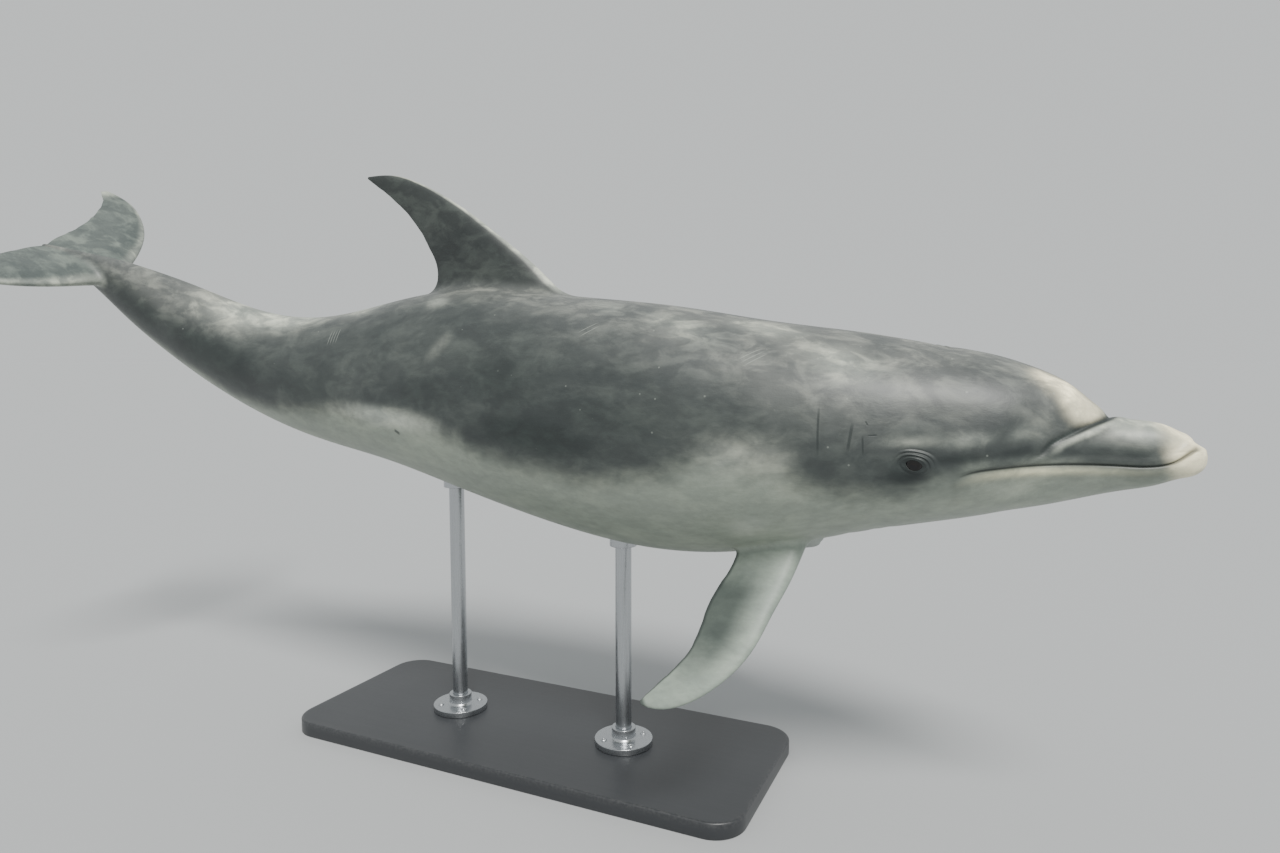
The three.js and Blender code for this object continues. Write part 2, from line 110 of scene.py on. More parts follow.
MOUTH = dict(
    at=mm(-30, 0, 14, 27, 40, 60, 115, 208, 281, 318, 336),
    height=mm(24, 21, 17, 8, -2, -10, -14, -17, -26, -36, -46),
    begins=(0.005, 0.014), ends=(0.300, 0.344),
)
# Rows of low forms are a height, the middle's distance from a line or place, and a width.
LIPS = ((0.0016, 0.0075, 0.0055), (0.0011, -0.0075, 0.0050))
CHEEK = dict(height=0.0022, at=0.350, length=0.014, width=0.022)

EYE = dict(at=0.391, angle=math.radians(99.5), radius=0.018, depth=0.013)
LID = dict(length=0.0128, height=0.0084, tilt=math.radians(-8), clear=0.0006)
# Folds round the eye, on flatter ovals than the opening: half height of the oval, width, and
# height of the fold, and how closely it keeps to the upper lid
EYE_FOLDS = (
    (0.0112, 0.0012, 0.0008, 0.6), (0.0134, 0.0011, -0.0015, 1.1), (0.0157, 0.0014, 0.0010, 1.4),
    (0.0181, 0.0013, -0.0014, 1.8), (0.0206, 0.0017, 0.0008, 2.2), (0.0232, 0.0016, -0.0009, 2.6),
)
FOLD_FLATNESS = 1.6
POUCH = (-0.0007, 0.0140, 0.0022)     # crease under the lower lid, as a row of low forms
EYE_REACH = 0.040             # half length of the skin that is divided finely round the eye
BLOWHOLE = dict(at=0.372, half=0.024, bow=0.013, slit=0.0021, depth=0.012)
BLOWHOLE_FORMS = ((-0.0022, 0, 0.016), (0.0018, 0.0055, 0.0040), (-0.0022, 0, 0.0022))
CREASE_FORMS = ((-0.0034, -0.001, 0.0058), (0.0024, -0.016, 0.0100), (0.0020, 0.013, 0.0090))
NECK_FOLDS = dict(places=((0.455, -0.03), (0.492, -0.05), (0.540, -0.06)), depth=0.0011,
                  width=0.010)     # places are an arc length and a lean down the side
# Slit, vent and navel on the belly's midline: depth, width, arc length, length and sharpness.
MIDLINE_PITS = ((0.0042, 0.0042, 1.500, 0.050, 2), (0.0034, 0.0040, 1.622, 0.010, 1),
                (0.0026, 0.0080, 1.085, 0.014, 1))
EAR = dict(at=0.447, angle=1.73, depth=0.0016, width=0.0035)
MUSCLE = dict(height=0.0030, angle=1.20, width=0.28, begins=(1.45, 1.75), ends=(2.05, 2.25))

# Each fin lies in its own plane. Lead and trail are its edges from root to tip, as distances
# back to the tail and out from the body. Ripple is the wear of its rear edge, fillet the size
# of the rounding at its root, margin the room from there to the gap in the body, and rings how
# many there are in that room, on the fillet and on the blade.
DORSAL_FIN = dict(
    at=1.25, ripple=0.0006, fillet=0.034, margin=0.022, rings=(6, 8, 40),
    lead=mm([-232, 150], [-108, 260], [-18, 324], [76, 384], [170, 432], [262, 462], [344, 463]),
    trail=mm([176, 150], [151, 245], [167, 298], [200, 346], [245, 391], [298, 429], [346, 458]),
    thickness=mm(70, 44, 34, 27, 20, 13, 5),
)
FLIPPER = dict(
    at=0.65, angle=math.radians(156), half=0.205, depth=0.222, start=-0.6,
    ripple=0.0004, fillet={-1: 0.018, 1: 0.010}, margin=0.010, rings=(5, 7, 34),
    lead=mm([-96, -60], [-87, 0], [-76, 60], [-61, 116], [-47, 172], [-21, 226], [24, 277],
            [72, 304], [110, 306]),
    trail=mm([32, -60], [24, 12], [32, 62], [46, 108], [51, 162], [60, 210], [84, 252],
             [100, 277], [114, 300]),
    thickness=mm(40, 31, 25, 21, 18, 15, 12, 9, 5),
    droop={-1: math.radians(50), 1: math.radians(20)},
)
FLUKE = dict(
    at=2.39, ripple=0.0008, fillet=0.022, margin=0.012, rings=(5, 8, 34),
    lead=mm([-112, .15], [-92, 34], [-74, 72], [-57, 112], [-32, 160], [4, 210], [55, 256],
            [112, 286], [178, 293]),
    trail=mm([92, .15], [101, 34], [103, 70], [106, 110], [114, 150], [126, 190], [142, 226],
             [161, 254], [189, 279]),
    thickness=mm(44, 38, 32, 27, 23, 19, 15, 11, 6),
    dihedral=math.radians(3.6), curl=0.009, span=0.3,
)
FILLET_LIMIT = 0.44           # largest fillet, as a share of the body's radius there
FIN_EDGE = 0.0006             # half thickness of a fin's rear edge
MIDLINE_ROOM = 0.06           # angle kept free on each side of the midline, but for the dorsal fin
ROOT_RUN = 0.06               # how far a fin runs on into the body for each place under its root

STAND = dict(
    length=1.0, width=0.4, height=0.03, corner=0.06, bevel=0.004,
    rod=0.016, rod_sunk=0.020, places={"front": 0.2, "rear": -0.2}, gap=0.0003,
    flange=dict(radius=0.058, height=0.012, hub=0.024, hub_height=0.034, step=0.004),
    collar=dict(radius=0.027, height=0.016, sunk=0.012),
    rod_rounding=0.0015, ring_rounding=0.0012, sides=64, screw_sides=24,
)

# How finely the skin is divided
COLUMNS = 140
MOUTH_COLUMN = 39             # this column and its twin follow the mouth line
MOUTH_PACKING = 0.42          # spacing of columns at the mouth line, as a share of the mean
PACKING_POWER = 1.6           # how fast the spacing grows away from it
FOLLOWED = (0.016, 0.330)     # where the column keeps to the mouth line
PACKED = (0.330, 0.480)       # the packing relaxes over this stretch
RING_STEPS = dict(at=mm(0, 50, 120, 130, 245, 260, 420, 560, 900, 2500),
                  step=mm(1.6, 2.0, 2.6, 2.1, 2.1, 2.8, 3.0, 5.6, 9.5, 9.5))
# Places on the unwrapped skin, as where they start and how far they reach. A fin's strip is
# given across by its first start, the distance to the next strip and its width.
SKIN_LAYOUT = ((0.005, 0.985), (0.32, 0.66))
FIN_LAYOUT = ((0.01, 0.198, 0.18), (0.015, 0.28))
EYE_RINGS, EYE_SIDES = 40, 56
EYE_ROOM = 0.0001             # keeps the eyeball clear of the lids
NOSE_RINGS = 20
LID_RINGS = (5, 42)           # round the folds and from them to the opening
BLOWHOLE_RINGS = 24


# ---- Curves -----------------------------------------------------------------------------

def smooth_curve(xs, ys):
    """Natural cubic spline through the points: the bends solve a banded system that keeps the
    slope continuous, and the bend is nought at both ends. Outside its range it stays level."""
    xs, ys = np.asarray(xs, float), np.asarray(ys, float)
    span, rise = np.diff(xs), np.diff(ys)
    inner = np.arange(1, len(xs) - 1)
    system = np.eye(len(xs))
    system[inner, inner - 1] = span[:-1]
    system[inner, inner] = 2 * (span[:-1] + span[1:])
    system[inner, inner + 1] = span[1:]
    turn = np.zeros(len(xs))
    turn[inner] = 6 * np.diff(rise / span)
    bend = np.linalg.solve(system, turn)

    def curve(x):
        """The cubic between the two points on either side of x."""
        place = np.clip(x, xs[0], xs[-1])
        i = np.clip(np.searchsorted(xs, place, side="right") - 1, 0, len(span) - 1)
        b = (place - xs[i]) / span[i]
        a = 1 - b
        cubic = (a ** 3 - a) * bend[i] + (b ** 3 - b) * bend[i + 1]
        return a * ys[i] + b * ys[i + 1] + cubic * span[i] ** 2 / 6
    return curve


def smoothstep(x, low, high):
    """0 up to low and 1 from high, with the curve 3t^2 - 2t^3 between them."""
    t = np.clip((x - low) / (high - low), 0, 1)
    return t * t * (3 - 2 * t)


def rounded_end(x, low, high):
    """Quarter ellipse: 0 at low, rising steeply, 1 from high onwards."""
    return np.sqrt(np.maximum(0, 1 - (1 - np.clip((x - low) / (high - low), 0, 1)) ** 2))


def bump(x, middle, width):
    """Gaussian of height 1: e to the power of minus the square of the distance over width."""
    return np.exp(-((x - middle) / width) ** 2)


def forms(rows, x):
    """Sum of Gaussian ridges and hollows, each given by its height, middle and width."""
    return sum(height * bump(x, middle, width) for height, middle, width in rows)


def wrapped(angle):
    """The same angle, between minus pi and pi."""
    return (angle + np.pi) % (2 * np.pi) - np.pi


def steps_to_one(count):
    """Equal steps that end at 1, without the 0 that they start from."""
    return np.arange(1, count + 1) / count


def full_turn(count):
    """Equal steps of angle round a full turn, from 0."""
    return 2 * np.pi * np.arange(count) / count


# ---- Spine ------------------------------------------------------------------------------

def spine_directions(at):
    """Directions to the tail, up and left. The tail direction points backwards, pitched up and
    yawed to one side; left and up are then rolled about it."""
    p = POSE
    drop = np.clip((at - p["drop_from"]) / (BODY_LENGTH - p["drop_from"]), 0, 1)
    bend = np.clip((at - p["bend_from"]) / (BODY_LENGTH - p["bend_from"]), 0, 1)
    lift = np.clip(1 - at / p["head_lift_back"], 0, 1)
    pitch = np.radians(p["trunk_pitch"] - p["head_lift"] * lift
                       + p["tail_rise"] * smoothstep(at, *p["rise"]) - p["fluke_drop"] * drop)
    yaw = np.radians(-p["side_bend"] * bend ** p["bend_power"])
    roll = np.radians(p["twist"] * smoothstep(at, *p["twisted"]))[..., None]
    tail = np.stack([-np.cos(pitch) * np.cos(yaw), np.cos(pitch) * np.sin(yaw),
                     np.sin(pitch)], axis=-1)
    up = np.stack([np.sin(pitch) * np.cos(yaw), -np.sin(pitch) * np.sin(yaw),
                   np.cos(pitch)], axis=-1)
    left = np.cross(up, -tail)
    return (tail, up * np.cos(roll) - left * np.sin(roll),
            left * np.cos(roll) + up * np.sin(roll))


def spine_line():
    """The spine's points at every step: the running sum of its tail direction."""
    at = np.arange(0, BODY_LENGTH, SPINE_STEP)
    steps = spine_directions(at + SPINE_STEP / 2)[0] * SPINE_STEP
    points = np.vstack([np.zeros(3), np.cumsum(steps, axis=0)])
    target = np.array([REFERENCE_AHEAD, 0, SPINE_HEIGHT])
    return points + target - points[round(REFERENCE / SPINE_STEP)]


SPINE = spine_line()
SPINE_AT = np.arange(len(SPINE)) * SPINE_STEP


def spine_point(at):
    """The spine's place at each arc length, on straight lines between its steps."""
    return np.stack([np.interp(at, SPINE_AT, SPINE[:, i]) for i in range(3)], axis=-1)


def spine_frame(at):
    """The spine's place and its directions to the tail, up and left at one arc length."""
    at = np.array(at)
    return spine_point(at), *spine_directions(at)


# ---- Body surface -----------------------------------------------------------------------

beak_curves, body_curves, power_curves = (
    {key: smooth_curve(table["at"], table[key]) for key in table if key != "at"}
    for table in (BEAK, BODY, SQUARENESS))
mouth_height = smooth_curve(MOUTH["at"], MOUTH["height"])
crease_place = smooth_curve(CREASE_LINE["angle"], CREASE_LINE["at"])


def section_radius(curves, at, angle):
    """Polar radius of a superellipse whose upper and lower halves differ in height."""
    cosine = np.cos(angle)
    above = cosine > 0
    height = np.where(above, curves["top"](at), curves["bottom"](at))
    power = np.where(above, power_curves["above"](at), power_curves["below"](at))
    across = np.abs(np.sin(angle) / curves["half"](at)) ** power
    return (across + np.abs(cosine / height) ** power) ** (-1 / power)


def beak_and_body(at, angle):
    """Radii of the beak's tube and of the head and body's tube, whose rounded front begins in
    the melon at the top and further back down its sides."""
    beak = (section_radius(beak_curves, at, angle) * rounded_end(at, 0, NOSE_LENGTH)
            * (1 - smoothstep(at, *BEAK_FADE)))
    below = np.abs(angle)
    start = MELON["start"] + MELON["back"] * (smoothstep(below, *MELON["between"])
                                              * (1 - smoothstep(below, *MELON["until"])))
    front = rounded_end(at - start, 0, MELON["length"])
    return beak, section_radius(body_curves, at, angle) * front


def skin_radius(at, angle):
    """Distance from the spine to the bare skin: the larger tube, with a fillet in the crease."""
    beak, body = beak_and_body(at, angle)
    reach = CREASE["reach"] * CREASE["softness"]
    nearness = np.clip(1 - np.abs(beak - body) / reach, 0, 1)
    room = np.minimum(1, np.minimum(beak, body) / CREASE["least_radius"])
    tail_tip = rounded_end(TAIL["end"] - at, 0, TAIL["rounding"])
    return (np.maximum(beak, body) + CREASE["softness"] * nearness ** 2 * room) * tail_tip


def mouth_distance(at, height):
    """Distance over the mouth line in side view, square to the line."""
    slope = (mouth_height(at + MM) - mouth_height(at - MM)) / (2 * MM)
    return (height - mouth_height(at)) / np.sqrt(1 + slope ** 2)


def along_mouth(at):
    """1 along the mouth line, fading to 0 at its two ends."""
    return smoothstep(at, *MOUTH["begins"]) * (1 - smoothstep(at, *MOUTH["ends"]))


def mouth_relief(at, height):
    """A narrow groove with a rounded lip on each side, the upper lip standing a little proud,
    and a low cheek behind the corner."""
    settings = bpy.context.scene.dolphin_face
    off = mouth_distance(at, height)
    groove = -settings.mouth_depth * bump(off, 0, settings.mouth_width)
    cheek = CHEEK["height"] * bump(at, CHEEK["at"], CHEEK["length"]) * bump(off, 0, CHEEK["width"])
    return along_mouth(at) * (groove + forms(LIPS, off)) + cheek


def eye_place(at, angle, radius):
    """Distances along and across the nearer eye's lid opening, forwards and upwards."""
    ahead = EYE["at"] - at
    above = radius * (EYE["angle"] - np.abs(angle))
    return (ahead * math.cos(LID["tilt"]) + above * math.sin(LID["tilt"]),
            above * math.cos(LID["tilt"]) - ahead * math.sin(LID["tilt"]))


def eye_relief(at, angle, radius):
    """A low dome that carries the lids up to the eyeball, with folds that fade downwards and
    waver a little, and a crease under the lower lid. Under the dome the skin is levelled to the
    distance from the spine that the eyeball was set in by."""
    along, across = eye_place(at, angle, radius)
    away = np.hypot(along, across)
    rings = np.hypot(along / LID["length"], across / LID["height"])
    reach = np.minimum(away, away / np.maximum(rings, 0.1))
    cap = np.sqrt(np.maximum(EYE["radius"] ** 2 - reach ** 2, 0)) - EYE["depth"]
    level = skin_radius(EYE["at"], EYE["angle"]) - radius
    dome = (cap + LID["clear"] + level) * (1 - smoothstep(rings, 1.0, 3.0))
    direction = np.arctan2(across, along / FOLD_FLATNESS)
    waver = 1 + 0.03 * np.sin(direction + 2.6) + 0.012 * np.sin(5 * direction)
    oval = np.hypot(along / FOLD_FLATNESS, across) * waver
    upper = 0.5 + 0.5 * np.sin(direction + 0.15)
    folds = sum(height * bump(oval, middle, width) * upper ** keep
                for middle, width, height, keep in EYE_FOLDS)
    pouch = forms([POUCH], oval) * (1 - upper) ** 2
    fade = 1 - smoothstep(away, 0.024, EYE_REACH - 0.004)
    return np.where(away < 0.06, dome + (folds + pouch) * fade, 0)


def blowhole_bow(across):
    """Arc length of the slit at a distance across: a parabola whose ends point forwards."""
    return BLOWHOLE["at"] + BLOWHOLE["bow"] * (0.45 - (across / BLOWHOLE["half"]) ** 2)


def blowhole_distance(at, angle, radius):
    """Distance over the skin from the blowhole's crescent slit."""
    across = radius * wrapped(angle)
    beyond = np.maximum(np.abs(across) - BLOWHOLE["half"], 0)
    held = np.clip(across, -BLOWHOLE["half"], BLOWHOLE["half"])
    return np.hypot(at - blowhole_bow(held), beyond)


def blowhole_relief(at, angle, radius):
    """A shallow dish with a soft raised lip a few millimetres off the crescent slit."""
    return forms(BLOWHOLE_FORMS, blowhole_distance(at, angle, radius))


def body_relief(at, angle, radius):
    """Low forms under the skin: the crease before the melon, the neck's soft folds, the pits on
    the belly's midline, the ear's dimple and the muscle along the tail stock."""
    below = np.abs(angle)
    crease = forms(CREASE_FORMS, at - crease_place(below)) * (1 - smoothstep(below, 1.50, 1.78))
    neck = -NECK_FOLDS["depth"] * sum(
        bump(at - lean * (below - 2.2), middle, NECK_FOLDS["width"])
        for middle, lean in NECK_FOLDS["places"]) * smoothstep(below, 1.75, 2.2)
    from_midline = radius * (np.pi - below)
    pits = sum(-depth * bump(from_midline, 0, width) * bump(at, middle, length) ** sharpness
               for depth, width, middle, length, sharpness in MIDLINE_PITS)
    ear = (-EAR["depth"] * bump(at, EAR["at"], EAR["width"])
           * bump(radius * (below - EAR["angle"]), 0, EAR["width"]))
    muscle = (MUSCLE["height"] * bump(below, MUSCLE["angle"], MUSCLE["width"])
              * smoothstep(at, *MUSCLE["begins"]) * (1 - smoothstep(at, *MUSCLE["ends"])))
    return crease + neck + pits + ear + muscle


def skin_point(at, angle, sink=0.0):
    """A place on the finished skin: out from the spine by the bare radius and the reliefs, less
    the sinking, and set back along the beak above the mouth so that the lower jaw leads."""
    at, angle = np.broadcast_arrays(np.asarray(at, float), np.asarray(angle, float))
    tail, up, left = spine_directions(at)
    bare = skin_radius(at, angle)
    height = bare * np.cos(angle)
    radius = (bare + mouth_relief(at, height) + eye_relief(at, angle, bare)
              + blowhole_relief(at, angle, bare) + body_relief(at, angle, bare) - sink)
    back = (SETBACK["by"] * np.maximum(0, 1 - at / SETBACK["fade"]) ** 2
            * smoothstep(mouth_distance(at, height), -SETBACK["under"], SETBACK["over"]))
    return (spine_point(at) + left * (radius * np.sin(angle))[..., None]
            + up * (radius * np.cos(angle))[..., None] + tail * back[..., None])


def body_place(points):
    """Arc length, angle and distance over the bare skin of points near the trunk or tail. The
    arc length is moved along the spine until the point lies square to it."""
    at = np.interp(points[..., 0], SPINE[::-1, 0], SPINE_AT[::-1])
    for _ in range(8):
        tail, up, left = spine_directions(at)
        off = points - spine_point(at)
        at = np.clip(at + (off * tail).sum(-1), 0, BODY_LENGTH)
    angle = np.arctan2((off * left).sum(-1), (off * up).sum(-1))
    reach = np.linalg.norm(off, axis=-1)
    return at, angle, reach - skin_radius(at, angle)


# ---- Skin mesh --------------------------------------------------------------------------

FIELDS = ("at", "angle", "dorsal", "flipper", "fluke", "chord", "span")


def closed(grid):
    """A grid's rows with their first column repeated at the end."""
    return np.concatenate([grid, grid[:, :1]], axis=1)


def squares(grid):
    """The corners of every square of a grid, in the order that turns its face outwards."""
    near, far = grid[:-1], grid[1:]
    return np.stack([near[:, :-1], near[:, 1:], far[:, 1:], far[:, :-1]], axis=2)


class SkinMesh:
    """Collects points, what each point carries, and four-sided faces, all as whole arrays."""

    def __init__(self):
        self.points, self.fields, self.faces, self.corners = [], [], [], []
        self.count = 0

    def add(self, points, **fields):
        """Adds a grid of points and returns their numbers in the same layout."""
        shape = points.shape[:-1]
        carried = [np.broadcast_to(fields.get(name, 0.0), shape).ravel() for name in FIELDS]
        self.points.append(points.reshape(-1, 3))
        self.fields.append(np.stack(carried, axis=1))
        numbers = np.arange(self.count, self.count + math.prod(shape)).reshape(shape)
        self.count += math.prod(shape)
        return numbers

    def span(self, numbers, layout, keep=None):
        """Faces between neighbouring rings of a grid whose columns close on themselves. Layout
        is each point's place on the unwrapped skin, with one more column than the grid."""
        faces, corners = squares(closed(numbers)), squares(layout)
        chosen = np.ones(faces.shape[:2], bool) if keep is None else keep
        self.faces.append(faces[chosen])
        self.corners.append(corners[chosen])

    def close(self, ring, middle, layout, beyond=None, **fields):
        """A fan of narrow triangles from a ring to one middle point, on the ring's inner side.
        Its layout meets in the middle of the ring's, or beyond it where that is a straight line."""
        centre = self.add(np.asarray(middle)[None], **fields)[0]
        self.faces.append(np.stack([ring, np.roll(ring, -1), np.full_like(ring, centre),
                                    np.full_like(ring, -1)], axis=1))
        hubs = np.broadcast_to(layout.mean(axis=0), layout[:-1].shape)
        if beyond:
            hubs = (layout[:-1] + layout[1:]) / 2 + beyond
        self.corners.append(np.stack([layout[:-1], layout[1:], hubs, hubs], axis=1))


def column_angles(at):
    """Angle of every column at each arc length, from the belly round by the right, the back and
    the left. Columns are even round the trunk, and crowd to the mouth line on the head."""
    held = np.clip(at, *FOLLOWED)
    mouth = np.full_like(held, 1.75)      # a first guess, a little under the side
    for _ in range(14):
        share = np.clip(mouth_height(held) / skin_radius(held, mouth), -0.98, 0.98)
        mouth = np.arccos(share)
    even = 2 * np.pi * MOUTH_COLUMN / COLUMNS
    relaxed = smoothstep(at, *PACKED)
    mouth = mouth * (1 - relaxed) + even * relaxed
    packing = (MOUTH_PACKING * (1 - relaxed) + relaxed)[:, None]
    half = np.arange(COLUMNS // 2 + 1)
    above = np.clip(1 - half / MOUTH_COLUMN, 0, 1)
    under = np.clip((half - MOUTH_COLUMN) / (COLUMNS // 2 - MOUTH_COLUMN), 0, 1)

    def crowded(t):
        """Spacing from the mouth line: a straight line mixed with a power."""
        return packing * t + (1 - packing) * t ** PACKING_POWER
    mouth = mouth[:, None]
    left = mouth * (1 - crowded(above)) + (np.pi - mouth) * crowded(under)
    return np.hstack([-left[:, :0:-1], left[:, :-1]])


def ring_places():
    """Arc lengths of the rings: crowded on the nose's rounding, then in steps that grow."""
    turn = steps_to_one(NOSE_RINGS) * np.pi / 2
    places = list(NOSE_LENGTH * (1 - np.cos(turn)))
    end = TAIL["end"] - TAIL["rounding"]
    while places[-1] < end:
        places.append(places[-1] + float(np.interp(places[-1], RING_STEPS["at"],
                                                    RING_STEPS["step"])))
    places[-1] = end
    return np.append(places, TAIL["end"] - TAIL["rounding"] * np.array(TAIL["rings"]))


def skin_layout(at, angle):
    """Place on the unwrapped skin: arc length across, angle up, above the fins' strips."""
    across, up = SKIN_LAYOUT
    return np.stack([across[0] + across[1] * at / BODY_LENGTH,
                     up[0] + up[1] * (angle + np.pi) / (2 * np.pi)], axis=-1)


class BodyGrid:
    """The body's grid of rings and columns, and the gaps that are left in it for patches."""

    def __init__(self, mesh):
        self.mesh = mesh
        self.at = ring_places()
        self.angle = column_angles(self.at)
        places = np.broadcast_to(self.at[:, None], self.angle.shape)
        self.numbers = mesh.add(skin_point(places, self.angle), at=places, angle=self.angle)
        self.keep = np.ones((len(self.at) - 1, COLUMNS), bool)

    def gap(self, at_range, angle_range):
        """Leaves out the faces within a range and returns the gap's edge, anticlockwise from
        the middle of its rear side: point numbers, arc lengths and angles."""
        first, last = (int(np.argmin(np.abs(self.at - place))) for place in at_range)
        ring = self.angle[(first + last) // 2]
        low, high = (int(np.argmin(np.abs(ring - angle))) for angle in angle_range)
        middle = (low + high) // 2
        self.keep[first:last, low:high] = False
        sides = [(last, np.arange(middle, low, -1)), (np.arange(last, first, -1), low),
                 (first, np.arange(low, high)), (np.arange(first, last), high),
                 (last, np.arange(high, middle, -1))]
        sides = [np.broadcast_arrays(i, j) for i, j in sides]
        i, j = (np.concatenate([side[axis] for side in sides]) for axis in (0, 1))
        return self.numbers[i, j], self.at[i], self.angle[i, j]

    def finish(self):
        """Adds the body's faces and closes the snout's tip and the tail's end."""
        angle = np.hstack([self.angle, np.full((len(self.at), 1), np.pi)])
        layout = skin_layout(self.at[:, None] + 0 * angle, angle)
        self.mesh.span(self.numbers, layout, self.keep)
        snout, tail = (self.numbers[i] for i in (0, -1))
        self.mesh.close(np.roll(snout[::-1], 1), skin_point(0.0, np.pi), layout[0][::-1],
                        (-0.002, 0.0), at=0.0, angle=np.pi)
        self.mesh.close(tail, spine_point(TAIL["end"]), layout[-1], (0.002, 0.0),
                        at=TAIL["end"], angle=np.pi)


def add_patch(mesh, edge, loops, shares, sinks):
    """Rings over a gap. Share 0 is the gap's edge, each whole share after it one of the loops
    and the last their middle. Sinks are the rings' depths under the skin."""
    numbers, edge_at, edge_angle = edge
    shares, sinks = np.asarray(shares), np.asarray(sinks)[:, None]
    loops = [np.stack([edge_at, edge_angle]), *(np.stack(loop) for loop in loops)]
    middle = loops[-1].mean(axis=1)
    loops = np.array(loops + [np.zeros_like(loops[0]) + middle[:, None]])
    before = shares.astype(int)
    further = (shares - before)[:, None, None]
    at, angle = np.moveaxis(loops[before] * (1 - further) + loops[before + 1] * further, 1, 0)
    rings = mesh.add(skin_point(at, angle, sinks), at=at, angle=angle)
    layout = skin_layout(np.vstack([edge_at, at]), np.vstack([edge_angle, angle]))
    mesh.span(np.vstack([numbers, rings]), closed(layout))
    centre = skin_point(*middle, float(sinks[-1, 0]))
    mesh.close(rings[-1], centre, closed(layout)[-1], at=middle[0], angle=middle[1])


def add_lids(mesh, grid, side):
    """Lids: rings run in over the folds to the opening, turn over its rim and end inside the
    eyeball."""
    centre = side * EYE["angle"]
    radius = float(skin_radius(EYE["at"], centre))
    reach = np.array([EYE_REACH * 1.12, EYE_REACH * 0.95 / radius])
    edge = grid.gap((EYE["at"] - reach[0], EYE["at"] + reach[0]),
                    (centre - reach[1], centre + reach[1]))
    turn = full_turn(len(edge[0]))

    def oval(length, height, point):
        """A leaning ellipse, whose ends are drawn to points by a power of its own sine."""
        along = -length * np.cos(turn)
        across = side * height * np.sin(turn) * np.abs(np.sin(turn)) ** point
        ahead = along * math.cos(LID["tilt"]) - across * math.sin(LID["tilt"])
        above = along * math.sin(LID["tilt"]) + across * math.cos(LID["tilt"])
        return EYE["at"] - ahead, centre - side * above / radius
    loops = [oval(EYE_REACH * 0.92, EYE_REACH * 0.66, 0.0), oval(LID["length"], LID["height"], 0.3)]
    shares = np.concatenate([steps_to_one(LID_RINGS[0]),
                             2 - (1 - steps_to_one(LID_RINGS[1])) ** 1.25,
                             [2.04, 2.10, 2.22, 2.5]])
    sinks = np.concatenate([np.zeros(sum(LID_RINGS)), mm(0.5, 2.0, 4.5, 7.0)])
    add_patch(mesh, edge, loops, shares, sinks)


def add_blowhole(mesh, grid):
    """Blowhole: the rings close on a thin crescent and sink into the head."""
    edge = grid.gap((BLOWHOLE["at"] - 0.042, BLOWHOLE["at"] + 0.042), (-0.30, 0.30))
    turn = full_turn(len(edge[0]))
    across = -BLOWHOLE["half"] * np.sin(turn)
    at = blowhole_bow(across) + BLOWHOLE["slit"] * np.cos(turn)
    angle = across / float(skin_radius(BLOWHOLE["at"], 0.0))
    shares = np.append(1 - (1 - steps_to_one(BLOWHOLE_RINGS)) ** 1.3, [1.02, 1.05, 1.10])
    sinks = np.append(np.zeros(BLOWHOLE_RINGS), BLOWHOLE["depth"] * np.array([0.15, 0.5, 1.0]))
    add_patch(mesh, edge, [(at, angle)], shares, sinks)


# ---- Fins -------------------------------------------------------------------------------

class Fin:
    """A fin's surface over its plane: a place from root to tip and a turn round its section,
    where 0 is the rear edge, half a turn the front edge, and the first half the normal's side."""

    def __init__(self, shape, origin, back, out, normal, rise=lambda out: 0 * out):
        self.origin, self.back, self.out, self.normal = origin, back, out, normal
        self.shape, self.rise = shape, rise
        places = np.arange(len(shape["thickness"]))
        self.end = places[-1]
        self.lead, self.trail = ([smooth_curve(places, shape[key][:, axis]) for axis in (0, 1)]
                                 for key in ("lead", "trail"))
        self.thickness = smooth_curve(places, shape["thickness"])

    def point(self, place, turn):
        """The section is a rounded front, thickest at a third of the chord, that thins to the
        rear edge: a sum of a root and powers of the chord. Its chord runs lead to trail."""
        chord = (1 + np.cos(turn)) / 2
        half = 5 * (0.2969 * np.sqrt(chord) - 0.126 * chord - 0.3516 * chord ** 2
                    + 0.2843 * chord ** 3 - 0.1015 * chord ** 4)
        edge = FIN_EDGE * np.tanh(8 * np.abs(np.sin(turn)))
        tip = rounded_end(self.end - place, -0.06, 0.5)
        thick = np.sign(np.sin(turn)) * (self.thickness(place) * half * tip + edge)
        wave = np.sin(6.1 * place) + 0.6 * np.sin(14.3 * place + 1) + 0.4 * np.sin(27 * place)
        scallop = self.shape["ripple"] * wave * chord ** 6 * smoothstep(place, 1.0, 2.5)
        back = self.lead[0](place) * (1 - chord) + self.trail[0](place) * chord + scallop
        out = self.lead[1](place) * (1 - chord) + self.trail[1](place) * chord
        out = out + ROOT_RUN * np.minimum(place, 0)
        return (self.origin + self.back * back[..., None] + self.out * out[..., None]
                + self.normal * (thick + self.rise(out))[..., None])

    def root(self, turn):
        """The place at which each line of the fin leaves the body, by halving an interval."""
        low, high = np.full_like(turn, self.shape.get("start", 0.0)), np.full_like(turn, 3.2)
        for _ in range(26):
            middle = (low + high) / 2
            outside = body_place(self.point(middle, turn))[2] > 0
            low, high = np.where(outside, low, middle), np.where(outside, middle, high)
        return (low + high) / 2


def fin_foot(fin, around, hand, fillet):
    """Where each line of a fin meets the body, and the foot of the fillet there, which stands
    off from the join by the fillet's size or a share of the body's radius, if that is less."""
    root = fin.root(hand * around)
    join = fin.point(root, hand * around)
    join_at, join_angle, _ = body_place(join)
    radius = skin_radius(join_at, join_angle)
    size = np.minimum(fillet, FILLET_LIMIT * radius)
    foot_at = join_at + size * np.cos(around)
    foot_angle = join_angle - size * np.sin(around) / radius
    return root, join, join_at, join_angle, size, foot_at, foot_angle


